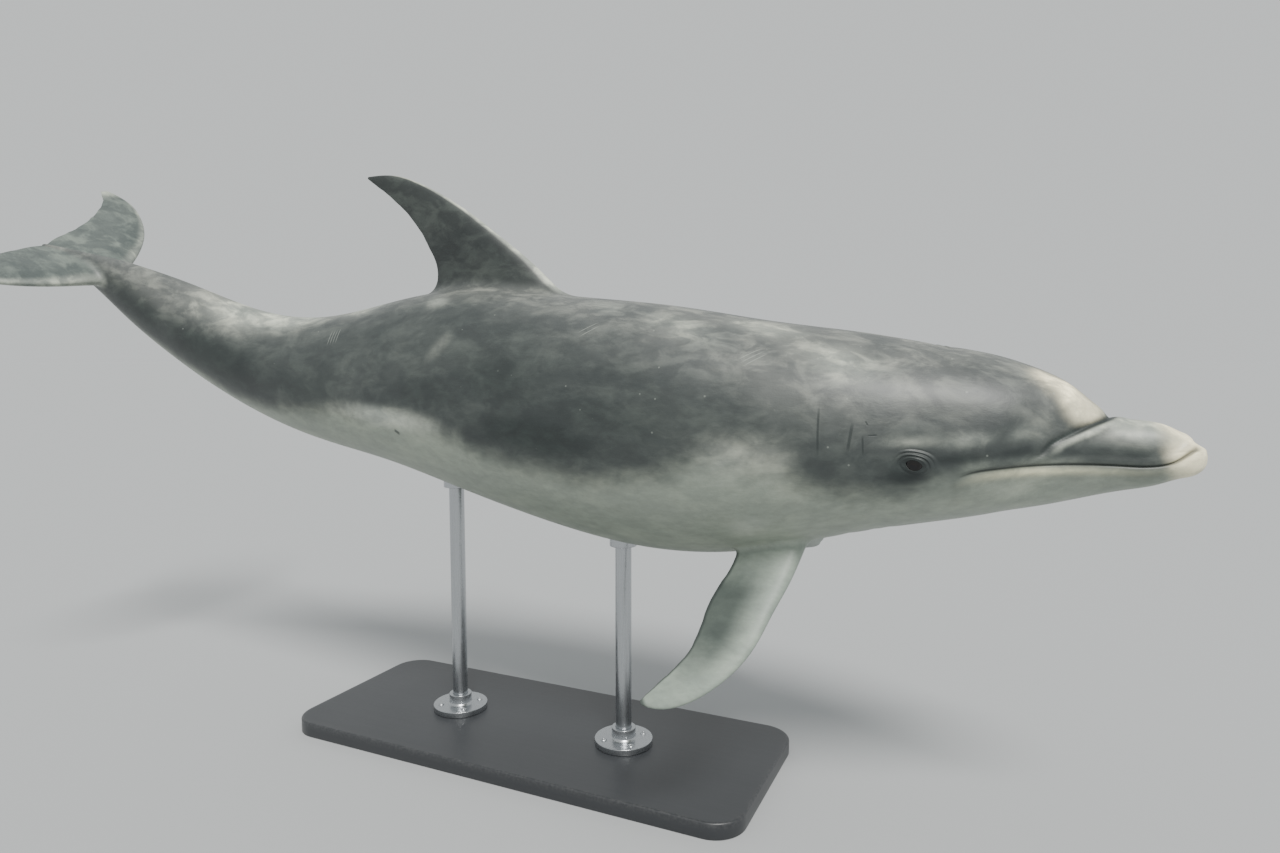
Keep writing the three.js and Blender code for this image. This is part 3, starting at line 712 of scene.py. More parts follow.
def fin_gap(grid, fin, fillet):
    """Opens the body under a fin, a margin wider than its fillet's foot and clear of the midline.
    Returns the sense in which the fin's section turns, seen from outside, and the gap's edge."""
    around = full_turn(60)
    *_, join_at, join_angle, _, foot_at, _ = fin_foot(fin, around, 1.0, fillet)
    _, _, up, left = spine_frame(join_at.mean())
    centre = join_angle.mean()
    tangent = left * math.cos(centre) - up * math.sin(centre)
    hand = -1.0 if (fin.normal * tangent).sum() > 0 else 1.0
    *_, foot_at, foot_angle = fin_foot(fin, around, hand, fillet)
    margin = fin.shape["margin"]
    wide = margin / float(skin_radius(join_at.mean(), centre))
    around_range = np.array([foot_angle.min() - wide, foot_angle.max() + wide])
    if abs(centre) > 0.5:
        limits = np.array([MIDLINE_ROOM, np.pi - MIDLINE_ROOM])
        around_range = np.clip(around_range, *np.sort(limits * np.sign(centre)))
    last = TAIL["end"] - 0.05 * TAIL["rounding"]
    return hand, grid.gap((foot_at.min() - margin, min(foot_at.max() + margin, last)),
                          around_range)


def add_fin(mesh, grid, name, fin, fillet, strip):
    """Sets a fin on the body: rings on the skin from the gap to the fillet's foot, the fillet,
    which is a parabola from skin to fin with its corner on their join, and rings to the tip."""
    hand, (numbers, edge_at, edge_angle) = fin_gap(grid, fin, fillet)
    share, t, outward = (steps_to_one(count)[:, None] for count in fin.shape["rings"])
    t, outward = t[..., None], 1 - (1 - outward) ** 1.35
    around = full_turn(len(numbers))
    turn = hand * around
    root, join, join_at, join_angle, size, foot_at, foot_angle = fin_foot(
        fin, around, hand, fillet)
    foot_angle = np.clip(foot_angle, edge_angle.min() + 0.02, edge_angle.max() - 0.02)
    speed = np.linalg.norm(fin.point(root + 0.01, turn) - join, axis=-1) / 0.01
    rise_place = root + size / speed
    at = edge_at + (foot_at - edge_at) * share
    angle = edge_angle + (foot_angle - edge_angle) * share
    on_skin = skin_point(at, angle)
    foot, top = on_skin[-1], fin.point(rise_place, turn)
    fillet_points = (1 - t) ** 2 * foot + 2 * t * (1 - t) * join + t ** 2 * top
    place = rise_place + (fin.end - rise_place) * outward
    blade = fin.point(place, turn + 0 * place)
    skin_rings = mesh.add(on_skin, at=at, angle=angle)
    mesh.span(np.vstack([numbers, skin_rings]),
              closed(skin_layout(np.vstack([edge_at, at]), np.vstack([edge_angle, angle]))))
    carried = dict(at=join_at, angle=join_angle, chord=(1 + np.cos(around)) / 2)
    fillets = mesh.add(fillet_points, **carried, **{name: smoothstep(t[..., 0], 0, 1)})
    blades = mesh.add(blade, **carried, span=outward, **{name: 1.0})
    numbers = np.vstack([skin_rings[-1:], fillets, blades])
    across, up_strip = np.meshgrid(np.linspace(0, 1, len(around) + 1),
                                   np.linspace(0, 1, len(numbers)))
    (first, apart, wide), (low, high) = FIN_LAYOUT
    layout = np.stack([first + apart * strip + wide * across, low + high * up_strip], axis=-1)
    mesh.span(numbers, layout)
    mesh.close(blades[-1], blade[-1].mean(axis=0), layout[-1], (0.0, 0.003),
               at=float(join_at.mean()), span=1.0, chord=0.5, **{name: 1.0})


def fluke_rise(out):
    """Height of a fluke over its plane: a straight slope and a parabola that curls the tip up."""
    return math.tan(FLUKE["dihedral"]) * out + FLUKE["curl"] * (out / FLUKE["span"]) ** 2


def add_fins(mesh, grid):
    """The five fins, each in a plane set by the spine at its root."""
    middle, tail, up, left = spine_frame(DORSAL_FIN["at"])
    dorsal = Fin(DORSAL_FIN, middle, tail, up, left)
    add_fin(mesh, grid, "dorsal", dorsal, DORSAL_FIN["fillet"], 0)
    middle, tail, up, left = spine_frame(FLIPPER["at"])
    for strip, side in ((1, 1), (2, -1)):
        droop, around = FLIPPER["droop"][side], FLIPPER["angle"]
        outward = left * side
        out = outward * math.cos(droop) - up * math.sin(droop)
        origin = (middle + outward * FLIPPER["half"] * math.sin(around)
                  + up * FLIPPER["depth"] * math.cos(around))
        flipper = Fin(FLIPPER, origin, tail, out, np.cross(out, tail))
        add_fin(mesh, grid, "flipper", flipper, FLIPPER["fillet"][side], strip)
    middle, tail, up, left = spine_frame(FLUKE["at"])
    for strip, side in ((3, 1), (4, -1)):
        fluke = Fin(FLUKE, middle, tail, left * side, up, fluke_rise)
        add_fin(mesh, grid, "fluke", fluke, FLUKE["fillet"], strip)


# ---- Markings carried by the skin -------------------------------------------------------

# Where the pale belly begins: degrees round from the back, by arc length.
BELLY_LINE = dict(
    at=mm(0, 60, 200, 330, 400, 470, 540, 640, 740, 860, 1000, 1150, 1260, 1400, 1540, 1700,
          1900, 2150, 2500),
    angle=(112, 108, 110, 112, 114, 114, 110, 103, 106, 114, 117, 113, 105, 103, 106, 116,
           130, 150, 170),
)
# Where the cape of the back ends.
CAPE_LINE = dict(
    at=mm(0, 150, 300, 420, 600, 780, 880, 980, 1080, 1250, 1500, 1800, 2100, 2500),
    angle=(40, 45, 62, 74, 68, 60, 53, 45, 34, 22, 22, 34, 60, 90),
)
# Soft marks: arc length and angle in degrees of the middle, half length, half width, lean of
# the long axis towards the belly going back, in degrees, and strength.
PALE_AND_LIT_MARKS = (
    (0.648, 100, 0.110, 0.048, 0, 0.46),     # shoulder
    (0.640, 136, 0.045, 0.030, 20, 0.70),    # over the flipper's root
    (1.395, 103, 0.160, 0.024, 0, 0.80),     # flank behind the dark lobe
    (0.400, 87, 0.060, 0.013, 6, 0.36),      # streak over the eye
    (0.318, 83, 0.070, 0.016, 10, 0.38),
    (0.245, 74, 0.050, 0.018, 32, 0.42),
    (0.190, 98, 0.060, 0.010, 10, 0.35),     # above the mouth
    # painted light: pale clouds over the back, where the light from above falls
    (0.515, 48, 0.090, 0.050, -14, 0.60),    # light clouds over the back
    (0.650, 26, 0.100, 0.045, -14, 0.50),
    (0.800, 36, 0.110, 0.042, -20, 0.52),
    (0.950, 24, 0.080, 0.030, -20, 0.42),
    (1.330, 26, 0.045, 0.026, -30, 0.50),
    (1.265, 58, 0.044, 0.022, 50, 0.36),
    (1.560, 14, 0.110, 0.040, 0, 0.50),
    # painted light on the top of the tail stock
    (1.830, 10, 0.220, 0.052, 0, 0.95),      # top of the tail stock
    # painted highlight on the top of the beak
    (0.095, 20, 0.060, 0.036, 0, 1.00),      # top of the beak
)
DARK_MARKS = (
    (0.402, 104, 0.032, 0.022, 20, 1.00),    # round the eye and under it
    (0.330, 95, 0.060, 0.010, 6, 0.62),      # band from the eye to the crease
    (0.255, 90, 0.050, 0.009, 12, 0.55),
    (0.095, 84, 0.045, 0.017, 3, 0.62),      # side of the beak
    (0.150, 88, 0.060, 0.018, 3, 0.58),
    (1.020, 101, 0.180, 0.042, -3, 0.75),    # lobe of the flank
    (0.880, 88, 0.190, 0.050, 0, 0.45),
    (1.110, 72, 0.150, 0.075, -8, 0.55),     # side under the dorsal fin
    (1.270, 84, 0.170, 0.050, 0, 0.45),
    (0.640, 66, 0.060, 0.035, 0, 0.30),
    (0.355, 66, 0.070, 0.026, 8, 0.46),
    (0.330, 38, 0.070, 0.040, 0, 0.32),
    (1.640, 88, 0.150, 0.060, 0, 0.50),      # sides of the tail stock
    (1.950, 84, 0.230, 0.062, 0, 0.85),
    (2.180, 88, 0.150, 0.060, 0, 0.75),
)
# Painted shade in the crease and a painted highlight on the fold before it: strength, middle and
# width.
CREASE_SHADE_AND_HIGHLIGHT = ((0.90, -0.003, 0.0095), (0.70, -0.018, 0.0100))
# Painted highlight where the light falls on the melon's front, as a soft mark
MELON_HIGHLIGHT_MARKS = ((0.170, 28, 0.036, 0.068, 62, 1.00),)     # front of the melon


def soft_marks(marks, at, angle, radius):
    """The strongest of a set of leaning ovals: each is a Gaussian of the squared distance in
    its own half length and half width."""
    strongest = np.zeros_like(at)
    for middle, degrees, length, width, lean, strength in marks:
        back = at - middle
        down = radius * (np.abs(angle) - math.radians(degrees))
        cosine, sine = math.cos(math.radians(lean)), math.sin(math.radians(lean))
        along, across = back * cosine + down * sine, down * cosine - back * sine
        oval = strength * np.exp(-(along / length) ** 2 - (across / width) ** 2)
        strongest = np.maximum(strongest, oval)
    return strongest


def marking_fields(at, angle, fins):
    """What the skin's material reads: signed distances over the belly and cape lines, soft pale
    and dark marks with painted light on the back and painted shade and highlight at the crease,
    the lips, the jaw tips with the painted highlight on the melon's front, painted shade in the
    mouth line and the blowhole's slit, and the fins' own fields."""
    radius = np.maximum(skin_radius(at, angle), 0.01)
    below = np.abs(angle)
    on_body = 1 - fins["dorsal"] - fins["flipper"] - fins["fluke"]
    height = radius * np.cos(angle)
    over_mouth = mouth_distance(at, height)
    behind = smoothstep(at, 0.300, 0.400)
    under_belly, under_cape = (
        radius * (below - np.radians(smooth_curve(line["at"], line["angle"])(at)))
        for line in (BELLY_LINE, CAPE_LINE))
    jaw = -over_mouth - 0.004
    behind_crease = at - crease_place(below)
    in_crease = on_body * (1 - smoothstep(below, 1.35, 1.75))
    # painted shade in the crease before the melon and a painted highlight on the fold ahead of it
    shade, fold_highlight = (forms([row], behind_crease) * in_crease for row in CREASE_SHADE_AND_HIGHLIGHT)
    mouth = along_mouth(at) * on_body
    jaw_tip = np.clip(1.15 - (at - 0.35 * height) / 0.062, 0, 1)
    # painted highlight on the melon's front, fading out ahead of the crease
    melon_highlight = (soft_marks(MELON_HIGHLIGHT_MARKS, at, angle, radius)
                   * smoothstep(behind_crease, -0.014, 0.004))
    return {
        "at": at, "angle": angle,
        "belly": under_belly * behind + jaw * (1 - behind),
        "cape": -under_cape,
        # pale marks, with painted light on the back, the tail stock and the beak, and a painted
        # highlight on the crease's fold
        "pale": np.maximum(soft_marks(PALE_AND_LIT_MARKS, at, angle, radius) * on_body, fold_highlight),
        # dark marks, with the painted shade in the crease
        "dark": np.maximum(soft_marks(DARK_MARKS, at, angle, radius) * on_body, shade),
        "lip": mouth * bump(over_mouth, -0.009, 0.006) * bump(at, 0.215, 0.115),
        # painted shade in the mouth line's groove
        "seam": mouth * bump(over_mouth, 0, 0.0026),
        # the jaw tips' own pale colour and the painted highlight on the melon's front, less the
        # crease's painted shade
        "snout": (on_body - shade) * np.maximum(jaw_tip, melon_highlight),
        # painted shade in the blowhole's slit
        "slit": bump(blowhole_distance(at, angle, radius), 0, 0.0022) * on_body,
        **fins,
    }


# ---- Meshes and pieces ------------------------------------------------------------------

def make_object(name, points, faces, corners=None, smooth=True):
    """A mesh object at the origin. Faces hold four numbers, with -1 last in a triangle."""
    sides = np.where(faces[:, 3] < 0, 3, 4)
    used = np.arange(4)[None] < sides[:, None]
    mesh = bpy.data.meshes.new(name)
    mesh.vertices.add(len(points))
    mesh.vertices.foreach_set("co", points.astype(np.float32).ravel())
    mesh.loops.add(int(sides.sum()))
    mesh.loops.foreach_set("vertex_index", faces[used].astype(np.int32))
    mesh.polygons.add(len(faces))
    starts = np.concatenate([[0], np.cumsum(sides)[:-1]]).astype(np.int32)
    mesh.polygons.foreach_set("loop_start", starts)
    if corners is not None:
        layer = mesh.uv_layers.new(name="OFBake")
        layer.data.foreach_set("uv", corners[used].astype(np.float32).ravel())
    mesh.update(calc_edges=True)
    mesh.validate()
    mesh.polygons.foreach_set("use_smooth", np.full(len(mesh.polygons), smooth))
    piece = bpy.data.objects.new(name, mesh)
    bpy.context.scene.collection.objects.link(piece)
    return piece


def drop_loose(points, fields, faces):
    """Leaves out the points that no face uses, and numbers the rest again."""
    used = np.zeros(len(points), bool)
    used[faces[faces >= 0]] = True
    fresh = np.cumsum(used) - 1
    return points[used], fields[used], np.where(faces >= 0, fresh[faces], -1)


def carry(piece, fields):
    """Stores each field on the piece's points as a named number."""
    for name, values in fields.items():
        layer = piece.data.attributes.new(name, "FLOAT", "POINT")
        layer.data.foreach_set("value", np.asarray(values, np.float32))


def turned_grid(profile, sides, axis):
    """Profile points of [radius, height] turned about a vertical axis at a place."""
    turn = full_turn(sides)
    profile = np.asarray(profile, float)
    ring = np.stack([np.cos(turn), np.sin(turn)], axis=-1)
    flat = profile[:, None, :1] * ring[None] + np.asarray(axis)
    height = np.broadcast_to(profile[:, 1:, None], (len(profile), sides, 1))
    return np.concatenate([flat, height], axis=2)


def closed_grid(rings, ends=None):
    """Points and faces of a grid of rings that close on themselves. A fan of triangles joins
    the first and the last ring to the two end points, or else they meet each other."""
    count, sides = rings.shape[:2]
    numbers = np.arange(count * sides).reshape(count, sides)
    points = rings.reshape(-1, 3)
    if ends is None:
        return points, squares(closed(np.vstack([numbers, numbers[:1]]))).reshape(-1, 4)
    fans = [np.stack([near, far, np.full(sides, end), np.full(sides, -1)], axis=1)
            for near, far, end in ((np.roll(numbers[0], -1), numbers[0], len(points)),
                                   (numbers[-1], np.roll(numbers[-1], -1), len(points) + 1))]
    faces = squares(closed(numbers)).reshape(-1, 4)
    return np.vstack([points, ends]), np.concatenate([faces, *fans])


def rounded(profile, size, steps=4):
    """A closed profile with each corner replaced by a parabola that begins and ends a size, or
    a third of the side, away from the corner."""
    profile = np.asarray(profile, float)
    before, after = np.roll(profile, 1, 0), np.roll(profile, -1, 0)

    def towards(other):
        """The places on the sides where the parabolas begin or end."""
        gap = np.linalg.norm(other - profile, axis=1, keepdims=True)
        return profile + (other - profile) / gap * np.minimum(size, gap / 3)
    start, end = towards(before), towards(after)
    t = (np.arange(steps + 1) / steps)[None, :, None]
    curve = ((1 - t) ** 2 * start[:, None] + 2 * t * (1 - t) * profile[:, None]
             + t ** 2 * end[:, None])
    return curve.reshape(-1, 2)


# ---- Shader wiring ----------------------------------------------------------------------

class Wire:
    """A value in a shader. Arithmetic on it adds the Math nodes that work it out."""

    def __init__(self, shop, socket):
        self.shop, self.socket = shop, socket

    def math(self, operation, *others):
        """A Math node on this value and others."""
        return self.shop.node("ShaderNodeMath", {"operation": operation}, self, *others)

    def __add__(self, other):
        return self.math("ADD", other)

    __radd__ = __add__

    def __sub__(self, other):
        return self.math("SUBTRACT", other)

    def __rsub__(self, other):
        return self.shop.node("ShaderNodeMath", {"operation": "SUBTRACT"}, other, self)

    def __mul__(self, other):
        return self.math("MULTIPLY", other)

    __rmul__ = __mul__

    def __truediv__(self, other):
        return self.math("DIVIDE", other)

    def __abs__(self):
        return self.math("ABSOLUTE")

    def clip(self):
        """Kept between 0 and 1."""
        return self.shop.node("ShaderNodeClamp", {}, self)

    def step(self, low, high):
        """0 below low and 1 above high, or the reverse where low is the larger."""
        start, end = (0.0, 1.0) if low < high else (1.0, 0.0)
        return self.shop.node("ShaderNodeMapRange", {"interpolation_type": "SMOOTHSTEP"},
                              self, min(low, high), max(low, high), start, end)


class Paint:
    """A material and the one method that adds nodes to it."""

    def __init__(self, name):
        self.material = bpy.data.materials.new(name)
        self.material.use_nodes = True
        self.tree = self.material.node_tree
        self.shader = self.tree.nodes["Principled BSDF"]

    def node(self, kind, settings, *values, out=0, **named):
        """Adds a node: its settings first, then values or wires by place or by name."""
        node = self.tree.nodes.new(kind)
        for key, value in settings.items():
            setattr(node, key, value)
        for key, value in [*enumerate(values), *named.items()]:
            self.connect(node.inputs[key], value)
        return Wire(self, node.outputs[out])

    def connect(self, socket, value):
        """Links a wire to a socket or sets the socket's value, and leaves it alone for None."""
        if isinstance(value, Wire):
            self.tree.links.new(value.socket, socket)
        elif value is not None:
            socket.default_value = value

    def fields(self, *names):
        """Wires that read the numbers carried by the mesh under these names."""
        return [self.node("ShaderNodeAttribute", {"attribute_name": name}, out="Fac")
                for name in names]

    def place(self, scale=(1.0, 1.0, 1.0), turn=(0.0, 0.0, 0.0)):
        """Object coordinates, scaled and turned."""
        coords = self.node("ShaderNodeTexCoord", {}, out="Object")
        return self.node("ShaderNodeMapping", {}, Vector=coords, Scale=scale, Rotation=turn)

    def noise(self, where, scale, detail, rough, warp=0.0):
        """Layered noise between 0 and 1."""
        return self.node("ShaderNodeTexNoise", {}, Vector=where, Scale=scale, Detail=detail,
                         Roughness=rough, Distortion=warp)

    def mix(self, share, first, second, blend="MIX"):
        """Mixes two colours. A mix node's colours are its sockets 6 and 7 and its output 2."""
        colours = (value if isinstance(value, Wire) else (*value, 1.0)
                   for value in (first, second))
        settings = {"data_type": "RGBA", "blend_type": blend, "clamp_factor": True}
        return self.node("ShaderNodeMix", settings, share, *[None] * 5, *colours, out=2)

    def coats(self, colour, *coats):
        """Lays coats over a colour one by one, each given by its share and its own colour."""
        for share, coat in coats:
            colour = self.mix(share, colour, coat)
        return colour

    def relief(self, height, distance, strength, under=None):
        """A bump from a height, on top of another bump's normal."""
        return self.node("ShaderNodeBump", {}, Strength=strength, Distance=distance,
                         Height=height, Normal=under)

    def set(self, **sockets):
        """Feeds the shader: values are set on its sockets and wires are linked to them."""
        for key, value in sockets.items():
            value = (*value, 1.0) if isinstance(value, tuple) else value
            self.connect(self.shader.inputs[key.replace("_", " ")], value)
        return self.material


# ---- Materials --------------------------------------------------------------------------

PUPIL = (0.004, 0.004, 0.005)
BARE_WOOD = (0.10, 0.10, 0.10)

# Thin scars on the right flank, as the ends' arc lengths and angles in degrees, and width.
SCARS = (
    ((0.533, -72.0), (0.528, -99.0), 0.0024), ((0.481, -79.0), (0.486, -96.0), 0.0032),
    ((0.466, -85.0), (0.463, -96.5), 0.0020), ((0.460, -85.8), (0.444, -85.0), 0.0019),
    ((0.464, -78.5), (0.459, -81.0), 0.0018),
    ((1.374, -110.5), (1.356, -113.0), 0.0050),
)
# Light tooth rakes: the middle line's ends, the space between lines, how many, and their width
RAKES = (
    ((0.668, -57.0), (0.632, -47.0), 0.0080, 3, 0.0010),
    ((0.968, -49.0), (0.935, -40.0), 0.0100, 2, 0.0010),
    ((1.590, -36.0), (1.582, -52.0), 0.0080, 4, 0.0012),
    ((0.900, 62.0), (0.990, 70.0), 0.0100, 4, 0.0012),
    ((1.420, 35.0), (1.510, 30.0), 0.0090, 3, 0.0011),
    ((0.640, 48.0), (0.700, 55.0), 0.0085, 3, 0.0011),
)


def line_mark(at, angle, start, end, width, spacing=1.0, count=1, scale=0.19):
    """1 on thin parallel lines over the skin and 0 off them. Distances are taken on the flat
    plane of arc length and angle times a typical radius, and the lines repeat by the rest of
    the distance across when it is divided by their spacing."""
    start = np.array([start[0], math.radians(start[1]) * scale])
    step = np.array([end[0], math.radians(end[1]) * scale]) - start
    length = float(np.hypot(*step))
    ux, uy = (float(v) for v in step / length)
    x, y = at - float(start[0]), angle * scale - float(start[1])
    along, across = x * ux + y * uy, y * ux - x * uy
    taper = (1 - abs(along / (length / 2) - 1)).step(0.0, 0.6)
    block = abs(across).step(spacing * count / 2, spacing * count / 2 - width)
    phase = 0.5 if count % 2 else 0.0
    line = abs((across / spacing + phase).math("FRACT") - 0.5) * spacing
    return line.step(width, width * 0.3) * taper * block


def skin_material(settings):
    """Grey skin, darker over the back and pale under the belly, with clouded edges, mottling
    that also stands for painted dapples of light, flecks, scars and tooth rakes, painted light on
    the back, painted highlights on the beak, the melon, the crease's fold and the dorsal fin's
    front edge, painted shade in the crease, the mouth line and the blowhole, and a bump of low
    swellings and fine lengthwise grain."""
    shop = Paint("dolphin_skin_paint")
    where = shop.place()
    at, angle, belly_line, cape_line, pale, dark, lip, seam, snout, slit = shop.fields(
        "at", "angle", "belly", "cape", "pale", "dark", "lip", "seam", "snout", "slit")
    dorsal, flipper, fluke, chord, span = shop.fields("dorsal", "flipper", "fluke", "chord", "span")
    drift = shop.noise(where, 5.0, 4.0, 0.6, 0.6) - 0.5
    fine_drift = shop.noise(where, 24.0, 3.0, 0.6) - 0.5
    cloud = drift * 0.11 + fine_drift * 0.016
    belly = (belly_line + cloud * 0.7).step(-0.028, 0.040)
    cape = (cape_line + cloud).step(-0.075, 0.075)
    # pale marks, among them painted light on the back, the tail stock and the beak, and the painted
    # highlight on the crease's fold
    pale = (pale * (1 + drift * 1.6 + fine_drift * 0.5)).step(0.10, 0.90)
    # dark marks, among them the painted shade in the crease
    dark = (dark * (1 + drift * 0.9)).step(0.08, 0.85)
    # jaw tips, with the painted highlight on the melon's front
    tip = (snout + fine_drift * 0.25).step(0.05, 0.75)
    colour = shop.coats(shop.mix(cape, settings.flank, settings.back),
                        (belly, settings.belly), (pale * 0.85, settings.pale),
                        (dark, settings.dark), (lip * 0.8, settings.lip), (tip, settings.snout))

    fin_cloud = drift * 0.9 + fine_drift * 0.25
    # painted highlight along the dorsal fin's rounded front edge, in the pale colour
    front = (chord + fin_cloud * 0.04).step(0.055, 0.0) * span.step(1.0, 0.6)
    band = (1.35 - abs(span + fin_cloud * 0.30 - 0.30) / 0.30).clip()
    band = band * (chord + fin_cloud * 0.40).step(0.08, 0.55)
    rim = (chord + fin_cloud * 0.05).step(0.92, 0.98) + span.step(0.94, 0.985)
    fluke_edge = ((chord + fin_cloud * 0.1).step(0.16, 0.01) + span.step(0.85, 1.0)).clip()
    colour = shop.coats(
        colour, (dorsal, shop.mix(front, settings.fin, settings.pale)),
        (flipper, shop.coats(settings.flipper_tip, (band, settings.flipper),
                             (rim.clip() * 0.8, settings.dark))),
        (fluke, shop.mix(fluke_edge * (0.55 + fin_cloud * 0.6), settings.fluke, settings.pale)))

    stretched = shop.place((0.55, 1.0, 1.0), (0.0, 0.35, 0.25))
    patches = shop.noise(stretched, 10.0, 6.0, 0.66, 0.3)
    grain = shop.noise(shop.place((0.5, 1.0, 1.0)), 85.0, 5.0, 0.7)
    # mottles of the skin that also stand for painted dapples of light, stronger over the back
    mottles_and_light_dapples = shop.noise(stretched, 30.0, 4.0, 0.6, 0.5).step(0.42, 0.66)
    depth = 0.95 - belly * 0.65
    for share, pattern, low, high in (
            (depth, patches.step(0.36, 0.66), (0.76, 0.78, 0.79), (1.34, 1.31, 1.27)),
            (depth * (0.5 + cape * 0.5), mottles_and_light_dapples, (0.78, 0.78, 0.79), (1.62, 1.57, 1.49)),
            (0.8, grain, (0.62, 0.62, 0.62), (1.38, 1.38, 1.38))):
        colour = shop.mix(share, colour, shop.mix(pattern, low, high), "MULTIPLY")
    cell, chance = (shop.node("ShaderNodeTexVoronoi", {"feature": "F1"}, Vector=where, Scale=36.0,
                              out=out) for out in ("Distance", "Color"))
    lucky = shop.node("ShaderNodeSeparateColor", {}, chance).step(0.62, 0.66)
    fleck = (cell + fine_drift * 0.10).step(0.080, 0.040) * lucky * (1 - belly * 0.7)

    cuts = sum(line_mark(at, angle, start, end, width, scale=0.17)
               for start, end, width in SCARS)
    rakes = sum(line_mark(at, angle, start, end, width, spacing, count)
                for start, end, spacing, count, width in RAKES)
    on_body = (1 - dorsal - flipper - fluke).clip()
    cuts, rakes = cuts.clip() * on_body, rakes.clip() * on_body
    colour = shop.coats(colour, (fleck * 0.26, settings.pale), (cuts * 0.75, settings.dark),
                        # painted shade in the mouth line's groove and the blowhole's slit
                        (rakes * 0.38, settings.pale), ((seam * 0.80).clip(), settings.seam),
                        (slit * 0.9, settings.seam))

    swell = shop.noise(where, 6.0, 2.0, 0.5)
    lengthwise = shop.noise(shop.place((30.0, 220.0, 220.0)), 1.0, 3.0, 0.6)
    pores = shop.noise(where, 420.0, 2.0, 0.5)
    normal = shop.relief(swell, 0.010, 0.35)
    normal = shop.relief(lengthwise, 0.0006, 0.35, normal)
    normal = shop.relief(pores * 0.5 + grain * 0.6 - cuts * 1.6 - rakes * 0.5, 0.0007, 0.4, normal)
    rough = settings.roughness + (patches - 0.5) * 0.16 + (grain - 0.5) * 0.10 - tip * 0.04
    return shop.set(Base_Color=colour, Roughness=rough, Normal=normal,
                    Coat_Weight=settings.wetness, Coat_Roughness=0.26)


def eye_material(settings):
    """A dark brown iris with a wide pupil and a dark rim, under a clear wet coat. The field
    called ring runs from 0 in the middle of the eye's front to 1 at its side, and the one called
    across is the distance from the pupil's bow."""
    shop = Paint("dolphin_eye_paint")
    ring, across = shop.fields("ring", "across")
    streaks = shop.noise(shop.place(), 420.0, 3.0, 0.7) - 0.5
    colour = shop.coats(
        settings.iris_inner, ((ring + streaks * 0.10).step(0.10, 0.42), settings.iris),
        ((across + streaks * 0.02).step(0.17, 0.135), PUPIL),
        ((ring + streaks * 0.03).step(0.44, 0.56), settings.eye_rim))
    return shop.set(Base_Color=colour, Roughness=0.25, Specular_IOR_Level=0.15,
                    Coat_Weight=0.55, Coat_Roughness=0.02,
                    Normal=shop.relief(streaks, 0.0002, 0.3))


def base_material(settings):
    """Charcoal lacquer on wood: long faint grain in the bump, worn a little paler at edges."""
    shop = Paint("stand_base_paint")
    grain = shop.noise(shop.place((1.4, 30.0, 30.0)), 3.0, 5.0, 0.6, 0.4)
    speck = shop.noise(shop.place(), 180.0, 2.0, 0.6)
    smear = shop.noise(shop.place(), 3.5, 3.0, 0.5)
    worn = shop.fields("edge")[0] * speck.step(0.35, 0.75)
    colour = shop.coats(settings.base, (grain, [1.25 * part for part in settings.base]),
                        (worn * 0.35, BARE_WOOD))
    rough = 0.42 + (smear - 0.5) * 0.16 + (speck - 0.5) * 0.06
    return shop.set(Base_Color=colour, Roughness=rough, Coat_Weight=0.15, Coat_Roughness=0.25,
                    Normal=shop.relief(grain + speck * 0.4, 0.0004, 0.35))


def steel_material(settings, name, grain_scale):
    """Brushed steel: fine streaks, drawn long on rods and short on turned faces."""
    shop = Paint(name)
    streak = shop.noise(shop.place(grain_scale), 1.0, 4.0, 0.65)
    smear = shop.noise(shop.place(), 22.0, 3.0, 0.5)
    colour = shop.mix(streak, [0.72 * part for part in settings.steel], settings.steel)
    rough = 0.27 + (streak - 0.5) * 0.18 + (smear - 0.5) * 0.10
    return shop.set(Base_Color=colour, Roughness=rough, Metallic=1.0,
                    Normal=shop.relief(streak, 0.00015, 0.3))


def floor_material(settings):
    """Plain pale floor. Its reflectance makes it as bright as the room behind it, which hides
    the horizon: the room's light over the sum of the room's and the sun's shared over pi."""
    shop = Paint("studio_floor_paint")
    room = np.array(settings.room_colour) * settings.room
    high = settings.sun * math.cos(math.radians(settings.sun_down)) / math.pi
    tone = room / (room + high * np.array(settings.sun_colour)) * settings.floor
    tone = tuple(float(value) for value in tone)
    return shop.set(Base_Color=tone, Roughness=0.9, Specular_IOR_Level=0.1)


# ---- Settings ---------------------------------------------------------------------------

def tint(code):
    """A hexadecimal display colour as linear red, green and blue."""
    parts = np.array([(code >> shift & 255) / 255 for shift in (16, 8, 0)])
    linear = np.where(parts <= 0.04045, parts / 12.92, ((parts + 0.055) / 1.055) ** 2.4)
    return tuple(float(value) for value in linear)


def colour_setting(name, description, colour):
    """A colour, given as a hexadecimal display colour or as linear parts."""
    return bpy.props.FloatVectorProperty(
        name=name, description=description, subtype="COLOR", size=3, min=0.0, max=1.0,
        default=colour if isinstance(colour, tuple) else tint(colour))


def length_setting(name, description, metres, least=0.0):
    """A length that a user may change, in metres."""
    return bpy.props.FloatProperty(name=name, description=description, default=metres, min=least,
                                   unit="LENGTH", subtype="DISTANCE")


def number_setting(name, description, value, **limits):
    """A plain number that a user may change."""
    return bpy.props.FloatProperty(name=name, description=description, default=value, **limits)


SHARE = dict(min=0.0, max=1.0, subtype="FACTOR")


